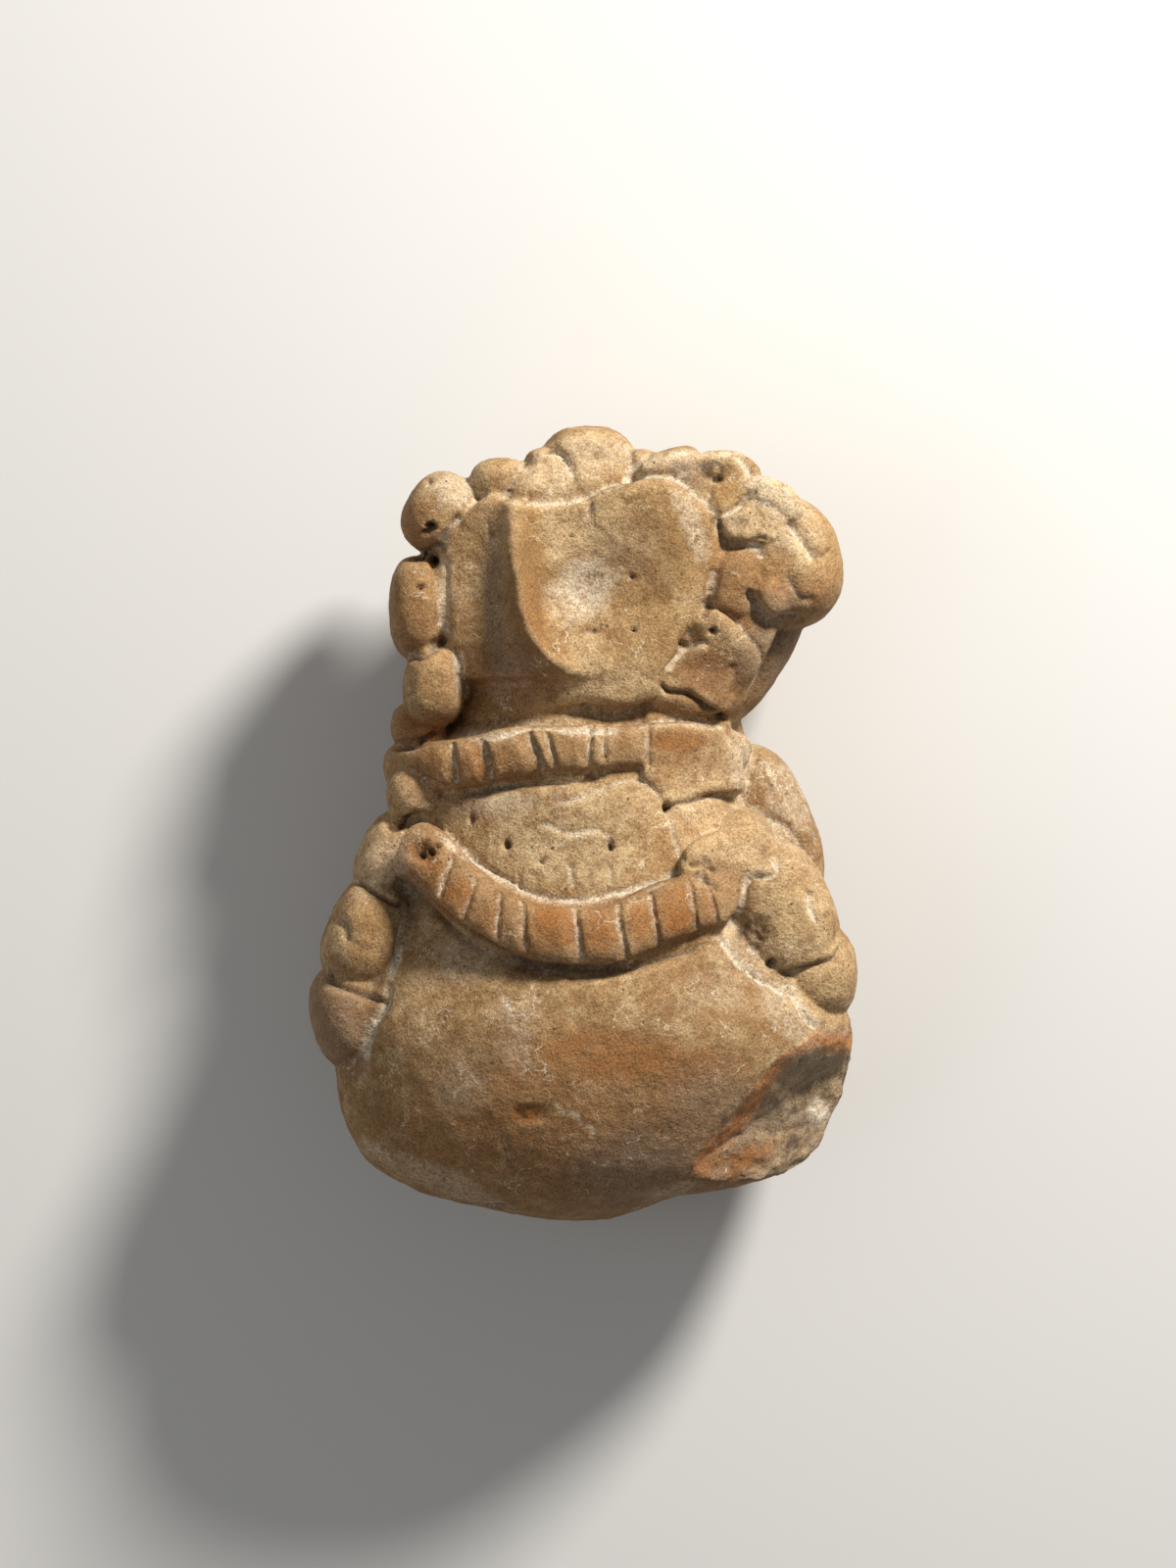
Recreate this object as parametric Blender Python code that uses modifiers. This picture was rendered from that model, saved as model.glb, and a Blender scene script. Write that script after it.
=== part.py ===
"""A small hand-modelled clay bust, broken off below, lying on its back with the face up.

The figure was pressed together from a solid core, pellets, leaves and rolls of clay and fired as one piece.
Its head points along +Y, its left side as one looks at it lies towards -X, and it rests on z = 0.
"""
import math

import bmesh
import bpy
import numpy as np
from mathutils import Matrix, Vector, noise

# Driving dimension: from the rounded lower edge to the top of the hair.
HEIGHT = 0.081
# The free form is laid out in steps, shares of the height of about a millimetre each.
STEP = HEIGHT / 81.0

# Sizes in steps.
BELLY_FRONT = 36.0
CHOKER_THICK = 2.35
NECKLACE_THICK = 3.05
NOSE_HEIGHT = 6.0
LEAF_ROOT = 14.0
CLAY_GRAIN = 0.55
PELLET_SQUARENESS = 2.5
ROLL_SQUARENESS = 2.8
FACE_SOFTNESS = 1.6
PROFILE_SIDES = 24
RING_SIDES = 64
RINGS = 90
FACES = 9400

CLAY_COLOUR = (0.42, 0.27, 0.15, 1.0)
CLAY_ROUGHNESS = 0.9

# Core sections: y, middle, half width, back, share of the belly's front, squareness.
BODY = (
    (0.0, -0.6, 3.0, 15.0, 0.62, 2.0),
    (0.7, -1.6, 6.4, 12.5, 0.7, 2.1),
    (2.4, -3.0, 12.2, 8.5, 0.81, 2.2),
    (3.6, -1.2, 17.3, 6.2, 0.86, 2.25),
    (6.0, 0.0, 22.3, 3.6, 0.92, 2.3),
    (10.5, 0.2, 24.9, 1.0, 0.975, 2.3),
    (15.5, 0.6, 26.1, -0.5, 1.0, 2.35),
    (20.5, 0.5, 26.1, -0.9, 0.995, 2.35),
    (26.0, 0.0, 24.2, -0.9, 0.95, 2.15),
    (32.0, 0.0, 21.6, -0.2, 0.885, 2.1),
    (38.0, -0.6, 18.6, 1.2, 0.862, 2.15),
    (43.0, -1.2, 16.8, 2.8, 0.845, 2.2),
    (48.0, -1.0, 15.0, 3.6, 0.78, 2.2),
    (52.0, -0.2, 13.5, 3.2, 0.69, 2.1),
    (59.0, 1.0, 13.2, 1.6, 0.69, 2.1),
    (66.0, 1.6, 13.6, 1.2, 0.7, 2.1),
    (72.0, 1.4, 12.2, 4.0, 0.67, 2.0),
    (76.0, 0.8, 7.5, 8.5, 0.6, 2.0),
    (77.6, 0.5, 3.0, 12.5, 0.52, 2.0),
)

# Pellets of hair: x, y, z of the middle, three half sizes, turn in degrees.
LEFT_LOCKS = (
    (-14.8, 71.7, 18.8, 3.8, 4.4, 7.6, -32.0),
    (-17.2, 62.1, 18.8, 3.0, 5.4, 7.8, 2.0),
    (-15.4, 54.8, 20.2, 3.2, 4.8, 7.6, -4.0),
    (-17.2, 50.2, 17.0, 2.9, 2.6, 7.0, 0.0),
    (-17.3, 43.1, 17.5, 3.5, 3.2, 7.8, 12.0),
)
LEFT_BRAID = (
    (-19.8, 36.8, 17.5, 3.6, 4.8, 8.8, -24.0),
    (-20.9, 29.3, 18.6, 4.6, 6.3, 10.6, -26.0),
    (-24.4, 27.2, 16.5, 2.8, 3.2, 7.6, -28.0),
    (-23.6, 20.8, 17.0, 4.4, 5.6, 11.2, 16.0),
)
TOP_LOCKS = (
    (-8.8, 75.0, 20.5, 3.2, 2.4, 5.4, 0.0),
    (-4.0, 76.2, 19.5, 2.7, 2.2, 5.0, -20.0),
    (0.0, 76.6, 16.5, 5.0, 4.3, 7.6, 0.0),
    (5.0, 76.7, 17.5, 2.1, 2.0, 4.4, 0.0),
    (8.4, 75.9, 17.6, 4.2, 2.2, 6.2, 4.0),
)
RIGHT_LOCKS = (
    (19.8, 66.7, 17.0, 6.1, 6.6, 9.2, 14.0),
    (15.6, 70.6, 15.5, 6.2, 5.4, 9.4, -30.0),
    (15.2, 64.2, 16.6, 4.8, 6.0, 8.2, 4.0),
    (15.2, 57.8, 12.4, 4.8, 9.2, 8.4, -34.0),
    (11.6, 67.2, 15.4, 5.0, 10.0, 10.4, -6.0),
    (9.4, 74.4, 14.0, 4.0, 3.2, 10.8, -20.0),
    (11.0, 59.4, 15.4, 5.0, 5.0, 9.6, -20.0),
    (9.4, 54.4, 15.0, 5.0, 6.0, 9.2, 0.0),
)
RIGHT_BRAID = (
    (19.1, 31.2, 19.4, 5.9, 7.5, 11.0, 24.0),
    (23.2, 25.2, 18.0, 4.1, 4.9, 10.4, -2.0),
    (15.0, 37.0, 18.0, 4.2, 5.0, 9.0, 0.0),
)
BACK_HAIR = (
    (18.3, 39.6, 11.0, 5.0, 9.0, 8.0, 21.0),
    (2.0, 38.5, 9.2, 20.0, 10.5, 9.0, 0.0),
    (0.8, 48.0, 9.0, 15.4, 8.0, 7.6, 0.0),
    (1.0, 62.0, 7.8, 14.6, 13.0, 8.6, 0.0),
)

# Leaves of clay laid on flat: outline x, y; then height, fall to the right, fall upwards, softness of the edge.
BRAID_END = (
    ((7.9, 55.5), (9.9, 57.7), (11.1, 58.3), (10.5, 60.2), (12.8, 61.9), (15.4, 60.1), (17.5, 56.8),
     (16.3, 54.0), (15.8, 52.4), (14.2, 51.1), (11.8, 52.3), (10.1, 53.4), (8.1, 53.8)),
    26.0, 0.12, -0.34, 1.5,
)
LOWER_LOCK = (
    ((6.8, 52.7), (8.1, 53.8), (10.1, 53.4), (11.8, 52.2), (14.2, 51.2), (14.6, 49.8), (13.6, 49.2),
     (6.4, 49.4), (5.4, 50.8)),
    24.4, 0.3, 0.1, 1.0,
)
TORN_LOCK = (
    ((8.3, 76.0), (8.6, 77.2), (10.7, 77.8), (13.8, 78.1), (16.0, 77.5), (17.5, 76.2), (17.2, 74.4),
     (15.4, 72.7), (13.5, 71.4), (12.0, 72.8), (10.2, 74.3)),
    25.7, 0.08, 0.2, 1.5,
)
FOLDED_LOCK = (
    ((13.6, 71.2), (15.4, 72.5), (17.2, 75.2), (19.3, 75.0), (21.5, 73.4), (21.6, 70.4), (19.0, 68.4),
     (15.7, 68.6), (14.0, 69.0)),
    26.3, 0.1, 0.12, 1.4,
)
CHOKER_END = (
    ((5.8, 50.0), (10.0, 50.3), (13.5, 49.9), (15.6, 47.3), (16.0, 44.3), (15.4, 43.3), (12.4, 43.0),
     (9.8, 42.4), (8.1, 41.8), (6.9, 43.2), (5.6, 44.6)),
    27.0, 0.6, -0.03, 0.9,
)
BROW_LOCK = (
    ((-8.2, 73.2), (-7.4, 75.2), (-6.4, 77.2), (-5.0, 78.3), (-3.4, 78.6), (-2.0, 77.4), (0.6, 77.9),
     (3.4, 77.4), (4.8, 76.0), (4.0, 74.4), (0.4, 73.2), (-4.0, 72.6)),
    24.9, 0.0, 0.62, 1.6,
)
BRAID_START = (
    ((9.4, 36.6), (11.4, 38.9), (14.6, 39.8), (18.0, 39.4), (19.6, 37.4), (18.6, 35.3), (16.5, 34.9),
     (15.6, 33.6), (15.3, 32.0), (13.9, 29.6), (12.0, 29.4), (10.0, 31.0)),
    30.0, 0.56, 0.08, 1.2,
)
LEAVES = (BROW_LOCK, BRAID_END, LOWER_LOCK, TORN_LOCK, FOLDED_LOCK, CHOKER_END, BRAID_START)

# Rolls of clay: x, y, z along the middle, share of the roll's thickness.
CHOKER = (
    (-15.5, 46.0, 8.0, 0.8),
    (-18.4, 46.1, 14.0, 0.95),
    (-18.0, 46.1, 20.0, 1.0),
    (-15.6, 46.0, 24.4, 1.0),
    (-11.5, 46.5, 27.3, 1.05),
    (-6.0, 47.7, 28.7, 1.05),
    (-1.0, 48.0, 29.0, 0.95),
    (3.6, 48.0, 28.4, 0.9),
    (6.8, 48.2, 26.9, 0.95),
    (11.0, 48.2, 24.0, 1.0),
    (15.0, 47.4, 18.5, 0.9),
)
# Cuts pressed across a roll: x, y of the middle, lean in degrees, width of the slope beside it, depth.
CHOKER_CUTS = (
    (-17.0, 46.1, 23.0, 0.8, 0.6),
    (-13.2, 46.5, 10.0, 1.3, 0.9),
    (-9.9, 47.0, 18.0, 1.7, 1.1),
    (-5.0, 47.6, 19.0, 1.7, 1.1),
    (-3.6, 47.7, 16.0, 0.6, 0.8),
    (0.3, 48.3, 0.0, 1.2, 0.9),
    (1.7, 48.9, 0.0, 0.6, 0.3),
    (6.2, 48.1, 0.0, 0.6, 0.7),
)
NECKLACE = (
    (-17.0, 37.4, 28.4, 0.98),
    (-15.0, 35.3, 29.6, 0.94),
    (-12.5, 33.0, 31.0, 0.96),
    (-9.8, 31.2, 32.2, 1.0),
    (-6.2, 29.6, 33.2, 1.0),
    (-2.0, 28.9, 33.6, 1.0),
    (2.4, 29.1, 33.4, 1.0),
    (5.2, 30.3, 32.8, 0.98),
    (8.2, 31.6, 31.6, 0.96),
    (11.4, 32.4, 29.6, 0.94),
    (14.0, 33.4, 27.0, 0.9),
)
NECKLACE_CUTS = (
    (-13.8, 35.8, -20.0, 0.6, 0.5),
    (-11.4, 33.5, -11.0, 0.8, 0.8),
    (-8.7, 31.9, -3.0, 0.9, 1.0),
    (-6.2, 30.7, 3.0, 0.8, 1.0),
    (-1.1, 29.5, 9.0, 1.2, 1.2),
    (3.5, 30.0, 11.0, 0.9, 1.1),
    (6.8, 31.0, 13.0, 0.9, 1.1),
    (10.7, 32.2, 12.0, 1.0, 1.1),
    (12.2, 33.3, 15.0, 0.6, 0.9),
)
# Width of the wall on a cut's other side.
CUT_WALL = 0.35

# Deep seams: depth, rise of the lip (positive on the line's left), line x, y.
SEAMS = (
    (0.8, 0.0, ((7.8, 76.4), (8.4, 75.8), (10.2, 74.2), (12.4, 72.1), (13.5, 71.1))),
    (0.8, 0.6, ((13.3, 71.5), (13.6, 70.1), (14.0, 69.0), (15.6, 68.7), (16.6, 68.7))),
    (1.0, -0.5, ((19.9, 70.8), (21.6, 68.7), (23.2, 66.5))),
    (1.0, 0.3, ((20.4, 65.5), (20.9, 64.0), (21.6, 63.0), (23.0, 63.3))),
    (1.1, 0.8, ((16.3, 64.2), (17.3, 62.0), (18.7, 60.8), (20.4, 61.2), (22.4, 60.6))),
    (0.6, -0.5, ((11.8, 61.2), (12.8, 62.0), (14.4, 61.0), (16.5, 58.6), (17.6, 56.8), (16.4, 53.8))),
    (1.0, 0.7, ((7.6, 54.8), (8.1, 53.7), (10.1, 53.4), (11.8, 52.3), (13.0, 51.6), (14.6, 50.9))),
    (0.8, 0.0, ((-18.8, 67.9), (-17.4, 67.4), (-15.4, 67.8), (-14.6, 68.6))),
    (0.8, 0.0, ((-20.0, 48.0), (-17.9, 48.2), (-16.2, 48.8), (-14.6, 49.6))),
    (1.0, 0.3, ((-20.6, 40.5), (-19.4, 40.1), (-18.2, 40.6), (-17.0, 41.0), (-16.0, 41.0))),
    (0.8, 0.3, ((-24.0, 34.8), (-21.5, 33.6), (-19.8, 32.5), (-18.2, 32.0))),
    (0.8, 0.2, ((-27.6, 27.4), (-26.1, 25.1), (-25.2, 24.1), (-22.7, 23.2), (-21.0, 22.6), (-20.0, 23.2))),
    (0.8, 0.2, ((-13.6, 43.4), (-11.1, 43.4), (-9.2, 43.9), (-5.8, 44.4), (-0.2, 44.8), (2.6, 45.6))),
    (0.8, 0.0, ((-2.4, 51.2), (-0.6, 51.6), (1.6, 51.0), (3.4, 51.3), (5.6, 52.2))),
    (1.0, 0.0, ((-17.4, 33.6), (-14.0, 30.6), (-11.6, 29.0), (-8.2, 27.0), (-4.2, 25.7), (2.6, 25.6), (6.8, 26.8),
                (11.2, 28.0), (13.6, 29.2))),
    (0.5, -0.4, ((-4.0, 42.2), (-1.4, 42.5), (1.0, 43.4), (3.6, 44.4), (5.7, 44.3), (6.9, 43.1), (8.0, 41.9))),
    (0.7, 0.4, ((7.6, 41.6), (8.2, 41.9), (9.8, 42.5), (12.4, 43.1), (15.8, 43.4))),
    (0.6, -0.5, ((19.0, 37.4), (18.7, 35.3), (16.5, 35.0), (15.7, 34.0), (15.4, 32.2), (14.2, 30.2), (13.2, 29.2))),
    (0.8, 0.5, ((19.4, 25.4), (21.5, 25.8), (23.6, 26.4), (24.9, 26.9), (25.6, 28.6))),
    (0.6, 0.3, ((13.0, 29.4), (14.8, 26.9), (16.5, 25.2), (19.2, 23.7), (20.6, 22.6))),
    (0.8, -0.5, ((15.4, 42.2), (18.3, 40.7), (20.1, 39.9), (21.2, 38.7), (22.4, 36.6), (23.9, 32.8))),
)
SEAM_WIDTH = 0.6
LIP_REACH = 1.5

# The deepest pits: x, y, half width, half height, depth.
PITS = (
    (-15.8, 70.2, 0.8, 0.7, 1.5),
    (13.2, 75.2, 0.8, 0.7, 1.0),
    (12.2, 62.3, 0.8, 0.8, 1.1),
    (8.0, 42.0, 0.7, 0.7, 1.0),
    (-16.6, 37.2, 1.0, 0.9, 1.4),
    (-5.9, 11.4, 1.4, 0.9, 0.5),
)

# Face: a leaf of clay pressed on and pinched into a ridge. Outline x, y.
FACE_OUTLINE = (
    (-10.9, 73.0), (-8.8, 73.3), (-3.8, 73.0), (0.3, 73.8), (6.4, 75.3), (8.6, 75.0), (11.6, 72.7),
    (13.4, 70.6), (13.1, 67.2), (12.2, 63.4), (9.8, 59.0), (8.2, 55.4), (6.8, 52.8), (3.6, 51.8),
    (0.8, 52.2), (-2.4, 52.0), (-7.5, 50.4), (-12.4, 50.4), (-12.8, 54.6), (-14.0, 58.0), (-15.3, 61.4),
    (-15.2, 67.0), (-13.4, 70.2),
)
# Ridge: y, x of the edge, share of the nose's height.
RIDGE = (
    (74.0, -8.2, 0.62), (69.0, -7.6, 0.8), (64.7, -7.3, 0.96), (60.5, -6.9, 1.0),
    (58.6, -6.4, 1.0), (56.6, -4.7, 0.9), (54.8, -2.8, 0.6), (53.4, -1.0, 0.2), (51.8, 0.6, 0.05),
)
CHEEK_LEVEL = 28.2
# The right cheek's highest place x, y, and how fast it falls away from there.
CHEEK = (5.0, 65.0, 0.02, 0.005)
# The left cheek: how much lower it starts, how it falls to the left and downwards.
FAR_CHEEK = (0.8, 0.22, 0.03)
CREST_SHARE = 0.55
CREST_IN = 0.9
CREST_WIDTH = 1.7
SHOULDER_WIDTH = 9.0
WALL_WIDTH = 2.1
# Dishes pressed into the cheek: x, y, half width, half height, depth.
DISHES = (
    (2.8, 65.2, 6.0, 5.6, 1.6),
    (-1.4, 63.6, 3.0, 2.6, 0.9),
)

# Broken corner at the lower right: three points on each of its two faces.
BREAK_UPPER = ((18.8, 16.2, 32.0), (11.5, 7.4, 32.1), (20.4, 12.4, 23.0))
BREAK_LOWER = ((16.4, 10.0, 26.6), (20.4, 12.4, 23.0), (23.6, 8.6, 18.4))
BREAK_TOP = 19.3

# How cuts and seams run out: a cut's reach in shares of the roll's thickness, and lengths of its ends.
CUT_REACH = 1.15
CUT_END = 0.9
SEAM_FADE = 0.12

# Hollows left by fingers.
FINGER_WIDE = 8.0
FINGER_DEEP = 0.45


def smoothstep(value):
    """Ease a share from 0 to 1."""
    share = np.clip(value, 0.0, 1.0)
    return share * share * (3.0 - 2.0 * share)


def through(keys, count):
    """Points of a smooth curve through the rows of keys."""
    keys = np.array(keys, float)
    place = np.linspace(0.0, len(keys) - 1.0, count)
    at = np.clip(place.astype(int), 0, len(keys) - 2)
    f = (place - at)[:, None]
    before = keys[np.maximum(at - 1, 0)]
    start = keys[at]
    end = keys[at + 1]
    after = keys[np.minimum(at + 2, len(keys) - 1)]
    bend = 2.0 * before - 5.0 * start + 4.0 * end - after
    twist = 3.0 * start - before - 3.0 * end + after
    return 0.5 * (2.0 * start + (end - before) * f + bend * f**2 + twist * f**3)


def closed_curve(keys, count):
    """Points of a smooth closed curve through the rows of keys."""
    keys = list(keys)
    around = through(keys[-2:] + keys + keys[:3], count * (len(keys) + 4) + 1)
    return around[2 * count:(len(keys) + 2) * count]


def outline_distance(points, outline):
    """Distance of each point to a closed outline in the picture plane, positive inside."""
    corner = np.array(outline, float)
    following = np.roll(corner, -1, axis=0)
    inside = np.zeros(len(points), bool)
    nearest = np.full(len(points), np.inf)
    for a, b in zip(corner, following):
        side = b - a
        share = np.clip((points - a) @ side / (side @ side), 0.0, 1.0)
        gap = np.linalg.norm(points - a - share[:, None] * side, axis=1)
        nearest = np.minimum(nearest, gap)
        crosses = (a[1] > points[:, 1]) != (b[1] > points[:, 1])
        where = a[0] + (points[:, 1] - a[1]) * side[0] / (side[1] if side[1] else 1.0)
        inside ^= crosses & (points[:, 0] < where)
    return np.where(inside, nearest, -nearest)


def line_place(points, line):
    """Distance to an open line, positive on its left, and the share of the way along it."""
    corner = np.array(line, float)
    lengths = np.linalg.norm(np.diff(corner, axis=0), axis=1)
    starts = np.cumsum(lengths) - lengths
    nearest = np.full(len(points), np.inf)
    left = np.ones(len(points))
    along = np.zeros(len(points))
    for a, b, start, length in zip(corner, corner[1:], starts, lengths):
        side = b - a
        share = np.clip((points - a) @ side / (side @ side), 0.0, 1.0)
        offset = points - a - share[:, None] * side
        gap = np.linalg.norm(offset, axis=1)
        closer = gap < nearest
        nearest = np.where(closer, gap, nearest)
        left = np.where(closer, np.sign(side[0] * offset[:, 1] - side[1] * offset[:, 0]), left)
        along = np.where(closer, (start + share * length) / lengths.sum(), along)
    return nearest * left, along


def add_core(clay):
    """The solid lump of body, neck and head, lofted through its sections."""
    angles = np.linspace(0.0, 2.0 * math.pi, RING_SIDES, endpoint=False)
    rings = []
    for y, middle, half, back, front, squareness in through(BODY, RINGS):
        depth = (front * BELLY_FRONT - back) / 2.0
        power = 2.0 / squareness
        across = half * np.sign(np.cos(angles)) * np.abs(np.cos(angles)) ** power
        out = depth * np.sign(np.sin(angles)) * np.abs(np.sin(angles)) ** power
        rings.append([clay.verts.new((middle + a, y, back + depth + o)) for a, o in zip(across, out)])
    for lower, upper in zip(rings, rings[1:]):
        for k in range(RING_SIDES):
            n = (k + 1) % RING_SIDES
            clay.faces.new((lower[k], upper[k], upper[n], lower[n]))
    clay.faces.new(rings[0])
    clay.faces.new(rings[-1][::-1])


def add_pellets(clay, pellets):
    """Balls of clay, pressed a little square and turned in the picture plane."""
    for x, y, z, wide, tall, deep, turn in pellets:
        ball = bmesh.ops.create_icosphere(clay, subdivisions=4, radius=1.0)["verts"]
        place = Matrix.Translation((x, y, z)) @ Matrix.Rotation(math.radians(turn), 4, "Z")
        place = place @ Matrix.Diagonal((wide, tall, deep, 1.0))
        for vert in ball:
            girth = sum(abs(part) ** PELLET_SQUARENESS for part in vert.co)
            vert.co = place @ (vert.co / girth ** (1.0 / PELLET_SQUARENESS))


def face_height(x, y):
    """How far the pressed leaf of the face stands out at a point."""
    rows = np.array(RIDGE[::-1])
    edge = np.interp(y, rows[:, 0], rows[:, 1])
    nose = NOSE_HEIGHT * np.interp(y, rows[:, 0], rows[:, 2])
    right = x - edge
    left = -right
    x_middle, y_middle, x_fall, y_fall = CHEEK
    cheek = CHEEK_LEVEL - x_fall * (x - x_middle) ** 2 - y_fall * (y - y_middle) ** 2
    dish = sum(d * np.exp(-(((x - a) / w) ** 2) - ((y - b) / h) ** 2) for a, b, w, h, d in DISHES)
    rounded = CREST_SHARE * np.exp(-(((right - CREST_IN) / CREST_WIDTH) ** 2))
    crest = nose * (rounded + (1.0 - CREST_SHARE) * (1.0 - smoothstep(right / SHOULDER_WIDTH)))
    low, fall_left, fall_down = FAR_CHEEK
    far = CHEEK_LEVEL - low - fall_left * np.clip(left, 0.0, None) - fall_down * (y_middle - y)
    top = cheek + nose * (1.0 - CREST_SHARE + CREST_SHARE * math.exp(-((CREST_IN / CREST_WIDTH) ** 2)))
    wall = far + (top - far) * (1.0 - smoothstep(left / WALL_WIDTH))
    return np.where(right > 0.0, cheek + crest - dish, wall)


def add_leaf(clay, outline, height, softness):
    """A sheet of clay with its own heights inside an outline, and a thick root under it."""
    xs = [p[0] for p in outline]
    ys = [p[1] for p in outline]
    wide = max(xs) - min(xs) + 1.0
    tall = max(ys) - min(ys) + 1.0
    middle = Vector(((max(xs) + min(xs)) / 2.0, (max(ys) + min(ys)) / 2.0, 0.0))
    place = Matrix.Translation(middle) @ Matrix.Diagonal((wide / 2.0, tall / 2.0, 1.0, 1.0))
    count = int(max(wide, tall) / CLAY_GRAIN) + 1
    sheet = bmesh.ops.create_grid(clay, x_segments=count, y_segments=count, size=1.0, matrix=place)["verts"]
    flat = np.array([vert.co[:2] for vert in sheet])
    edge = closed_curve(outline, 4)
    outside = outline_distance(flat, edge) < 0.0
    bmesh.ops.delete(clay, geom=[vert for vert, out in zip(sheet, outside) if out], context="VERTS")
    sheet = [vert for vert, out in zip(sheet, outside) if not out]
    front = {face for vert in sheet for face in vert.link_faces}
    sheet = list({vert for face in front for vert in face.verts})
    root = bmesh.ops.extrude_face_region(clay, geom=list(front))["geom"]
    for item in root:
        if isinstance(item, bmesh.types.BMVert):
            item.co.z = LEAF_ROOT
    flat = np.array([vert.co[:2] for vert in sheet])
    inside = outline_distance(flat, edge)
    rise = height(flat[:, 0], flat[:, 1]) - softness * (1.0 - np.sqrt(np.clip(inside / softness, 0.0, 1.0)))
    for vert, z in zip(sheet, rise):
        vert.co.z = z


def add_face(clay):
    """The pressed leaf of the face."""
    add_leaf(clay, FACE_OUTLINE, face_height, FACE_SOFTNESS)


def add_laid_leaf(clay, outline, height, fall_right, fall_up, softness):
    """A leaf laid on nearly flat."""
    x_middle, y_middle = np.array(outline).mean(axis=0)
    add_leaf(
        clay, outline,
        lambda x, y: height - fall_right * (x - x_middle) - fall_up * (y - y_middle),
        softness,
    )


def roll_profile(thick):
    """The section of a roll, pressed a little square."""
    curve = bpy.data.curves.new("roll section", "CURVE")
    spline = curve.splines.new("POLY")
    spline.use_cyclic_u = True
    spline.points.add(PROFILE_SIDES - 1)
    for k, point in enumerate(spline.points):
        angle = 2.0 * math.pi * k / PROFILE_SIDES
        x, y = math.cos(angle), math.sin(angle)
        girth = (abs(x) ** ROLL_SQUARENESS + abs(y) ** ROLL_SQUARENESS) ** (1.0 / ROLL_SQUARENESS)
        point.co = (thick * x / girth, thick * y / girth, 0.0, 1.0)
    holder = bpy.data.objects.new("roll section", curve)
    bpy.context.scene.collection.objects.link(holder)
    return holder


def add_roll(clay, points, thick):
    """A roll of clay along a smooth curve, with rounded ends."""
    curve = bpy.data.curves.new("roll", "CURVE")
    curve.dimensions = "3D"
    curve.bevel_mode = "OBJECT"
    curve.bevel_object = roll_profile(thick)
    curve.twist_mode = "Z_UP"
    curve.use_fill_caps = True
    path = through(points, 8 * len(points))
    spline = curve.splines.new("POLY")
    spline.points.add(len(path) - 1)
    for point, (x, y, z, share) in zip(spline.points, path):
        point.co = (x, y, z, 1.0)
        point.radius = share
    holder = bpy.data.objects.new("roll", curve)
    bpy.context.scene.collection.objects.link(holder)
    clay.from_mesh(evaluated_mesh(holder))
    bpy.data.objects.remove(curve.bevel_object)
    bpy.data.objects.remove(holder)
    for x, y, z, share in (path[0], path[-1]):
        size = thick * share
        place = Matrix.Translation((x, y, z)) @ Matrix.Diagonal((size, size, size, 1.0))
        bmesh.ops.create_icosphere(clay, subdivisions=3, radius=1.0, matrix=place)


def evaluated_mesh(holder):
    """A plain mesh of an object with its modifiers."""
    bpy.context.view_layer.update()
    graph = bpy.context.evaluated_depsgraph_get()
    return bpy.data.meshes.new_from_object(holder.evaluated_get(graph))


def fused(clay):
    """The overlapping lumps as one closed skin."""
    mesh = bpy.data.meshes.new("lumps")
    clay.to_mesh(mesh)
    clay.free()
    holder = bpy.data.objects.new("lumps", mesh)
    bpy.context.scene.collection.objects.link(holder)
    remesh = holder.modifiers.new("fuse", "REMESH")
    remesh.mode = "VOXEL"
    remesh.voxel_size = CLAY_GRAIN
    smooth = holder.modifiers.new("soften", "SMOOTH")
    smooth.iterations = 1
    skin = evaluated_mesh(holder)
    bpy.data.objects.remove(holder)
    return skin


def read(mesh, name):
    """Every vertex's place or normal as rows of three numbers."""
    values = np.empty(3 * len(mesh.vertices), np.float32)
    mesh.vertices.foreach_get(name, values)
    return values.reshape(-1, 3).astype(float)


def write(mesh, places):
    """Give every vertex its new place."""
    mesh.vertices.foreach_set("co", places.astype(np.float32).ravel())
    mesh.update()


def press_cuts(places, normals, thick, cuts):
    """Cuts pressed across a roll with a slanted edge: a slope on one side, a wall on the other."""
    for x, y, lean, slope, depth in cuts:
        angle = math.radians(lean)
        offset = places[:, :2] - (x, y)
        ahead = offset[:, 0] * math.cos(angle) + offset[:, 1] * math.sin(angle)
        aside = np.abs(offset[:, 1] * math.cos(angle) - offset[:, 0] * math.sin(angle))
        mark = np.clip(np.minimum(1.0 + ahead / slope, 1.0 - ahead / CUT_WALL), 0.0, 1.0)
        near = (aside < thick) & (np.abs(ahead) < thick)
        crown = places[near, 2].max()
        mark *= smoothstep((CUT_REACH * thick - aside) / CUT_END)
        mark *= (places[:, 2] > crown - thick) & (normals[:, 2] > 0.0)
        places[:, 2] -= depth * mark


def carve_seams(places, normals):
    """Grooves along the seams, each with a lip on one side, fading out at both ends."""
    flat = places[:, :2]
    move = np.zeros(len(places))
    for depth, rise, line in SEAMS:
        path = through(line, 4 * len(line))
        reach = 3.0 * LIP_REACH
        near = np.all((flat > path.min(axis=0) - reach) & (flat < path.max(axis=0) + reach), axis=1)
        near &= normals[:, 2] > 0.0
        gap, along = line_place(flat[near], path)
        fade = smoothstep(along / SEAM_FADE) * smoothstep((1.0 - along) / SEAM_FADE)
        groove = depth * np.exp(-((gap / SEAM_WIDTH) ** 2))
        lip = abs(rise) * np.exp(-np.abs(gap) / LIP_REACH) * smoothstep(0.5 + np.sign(rise) * gap / SEAM_WIDTH)
        move[near] += (lip - groove) * fade * normals[near, 2]
    places += normals * move[:, None]


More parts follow.
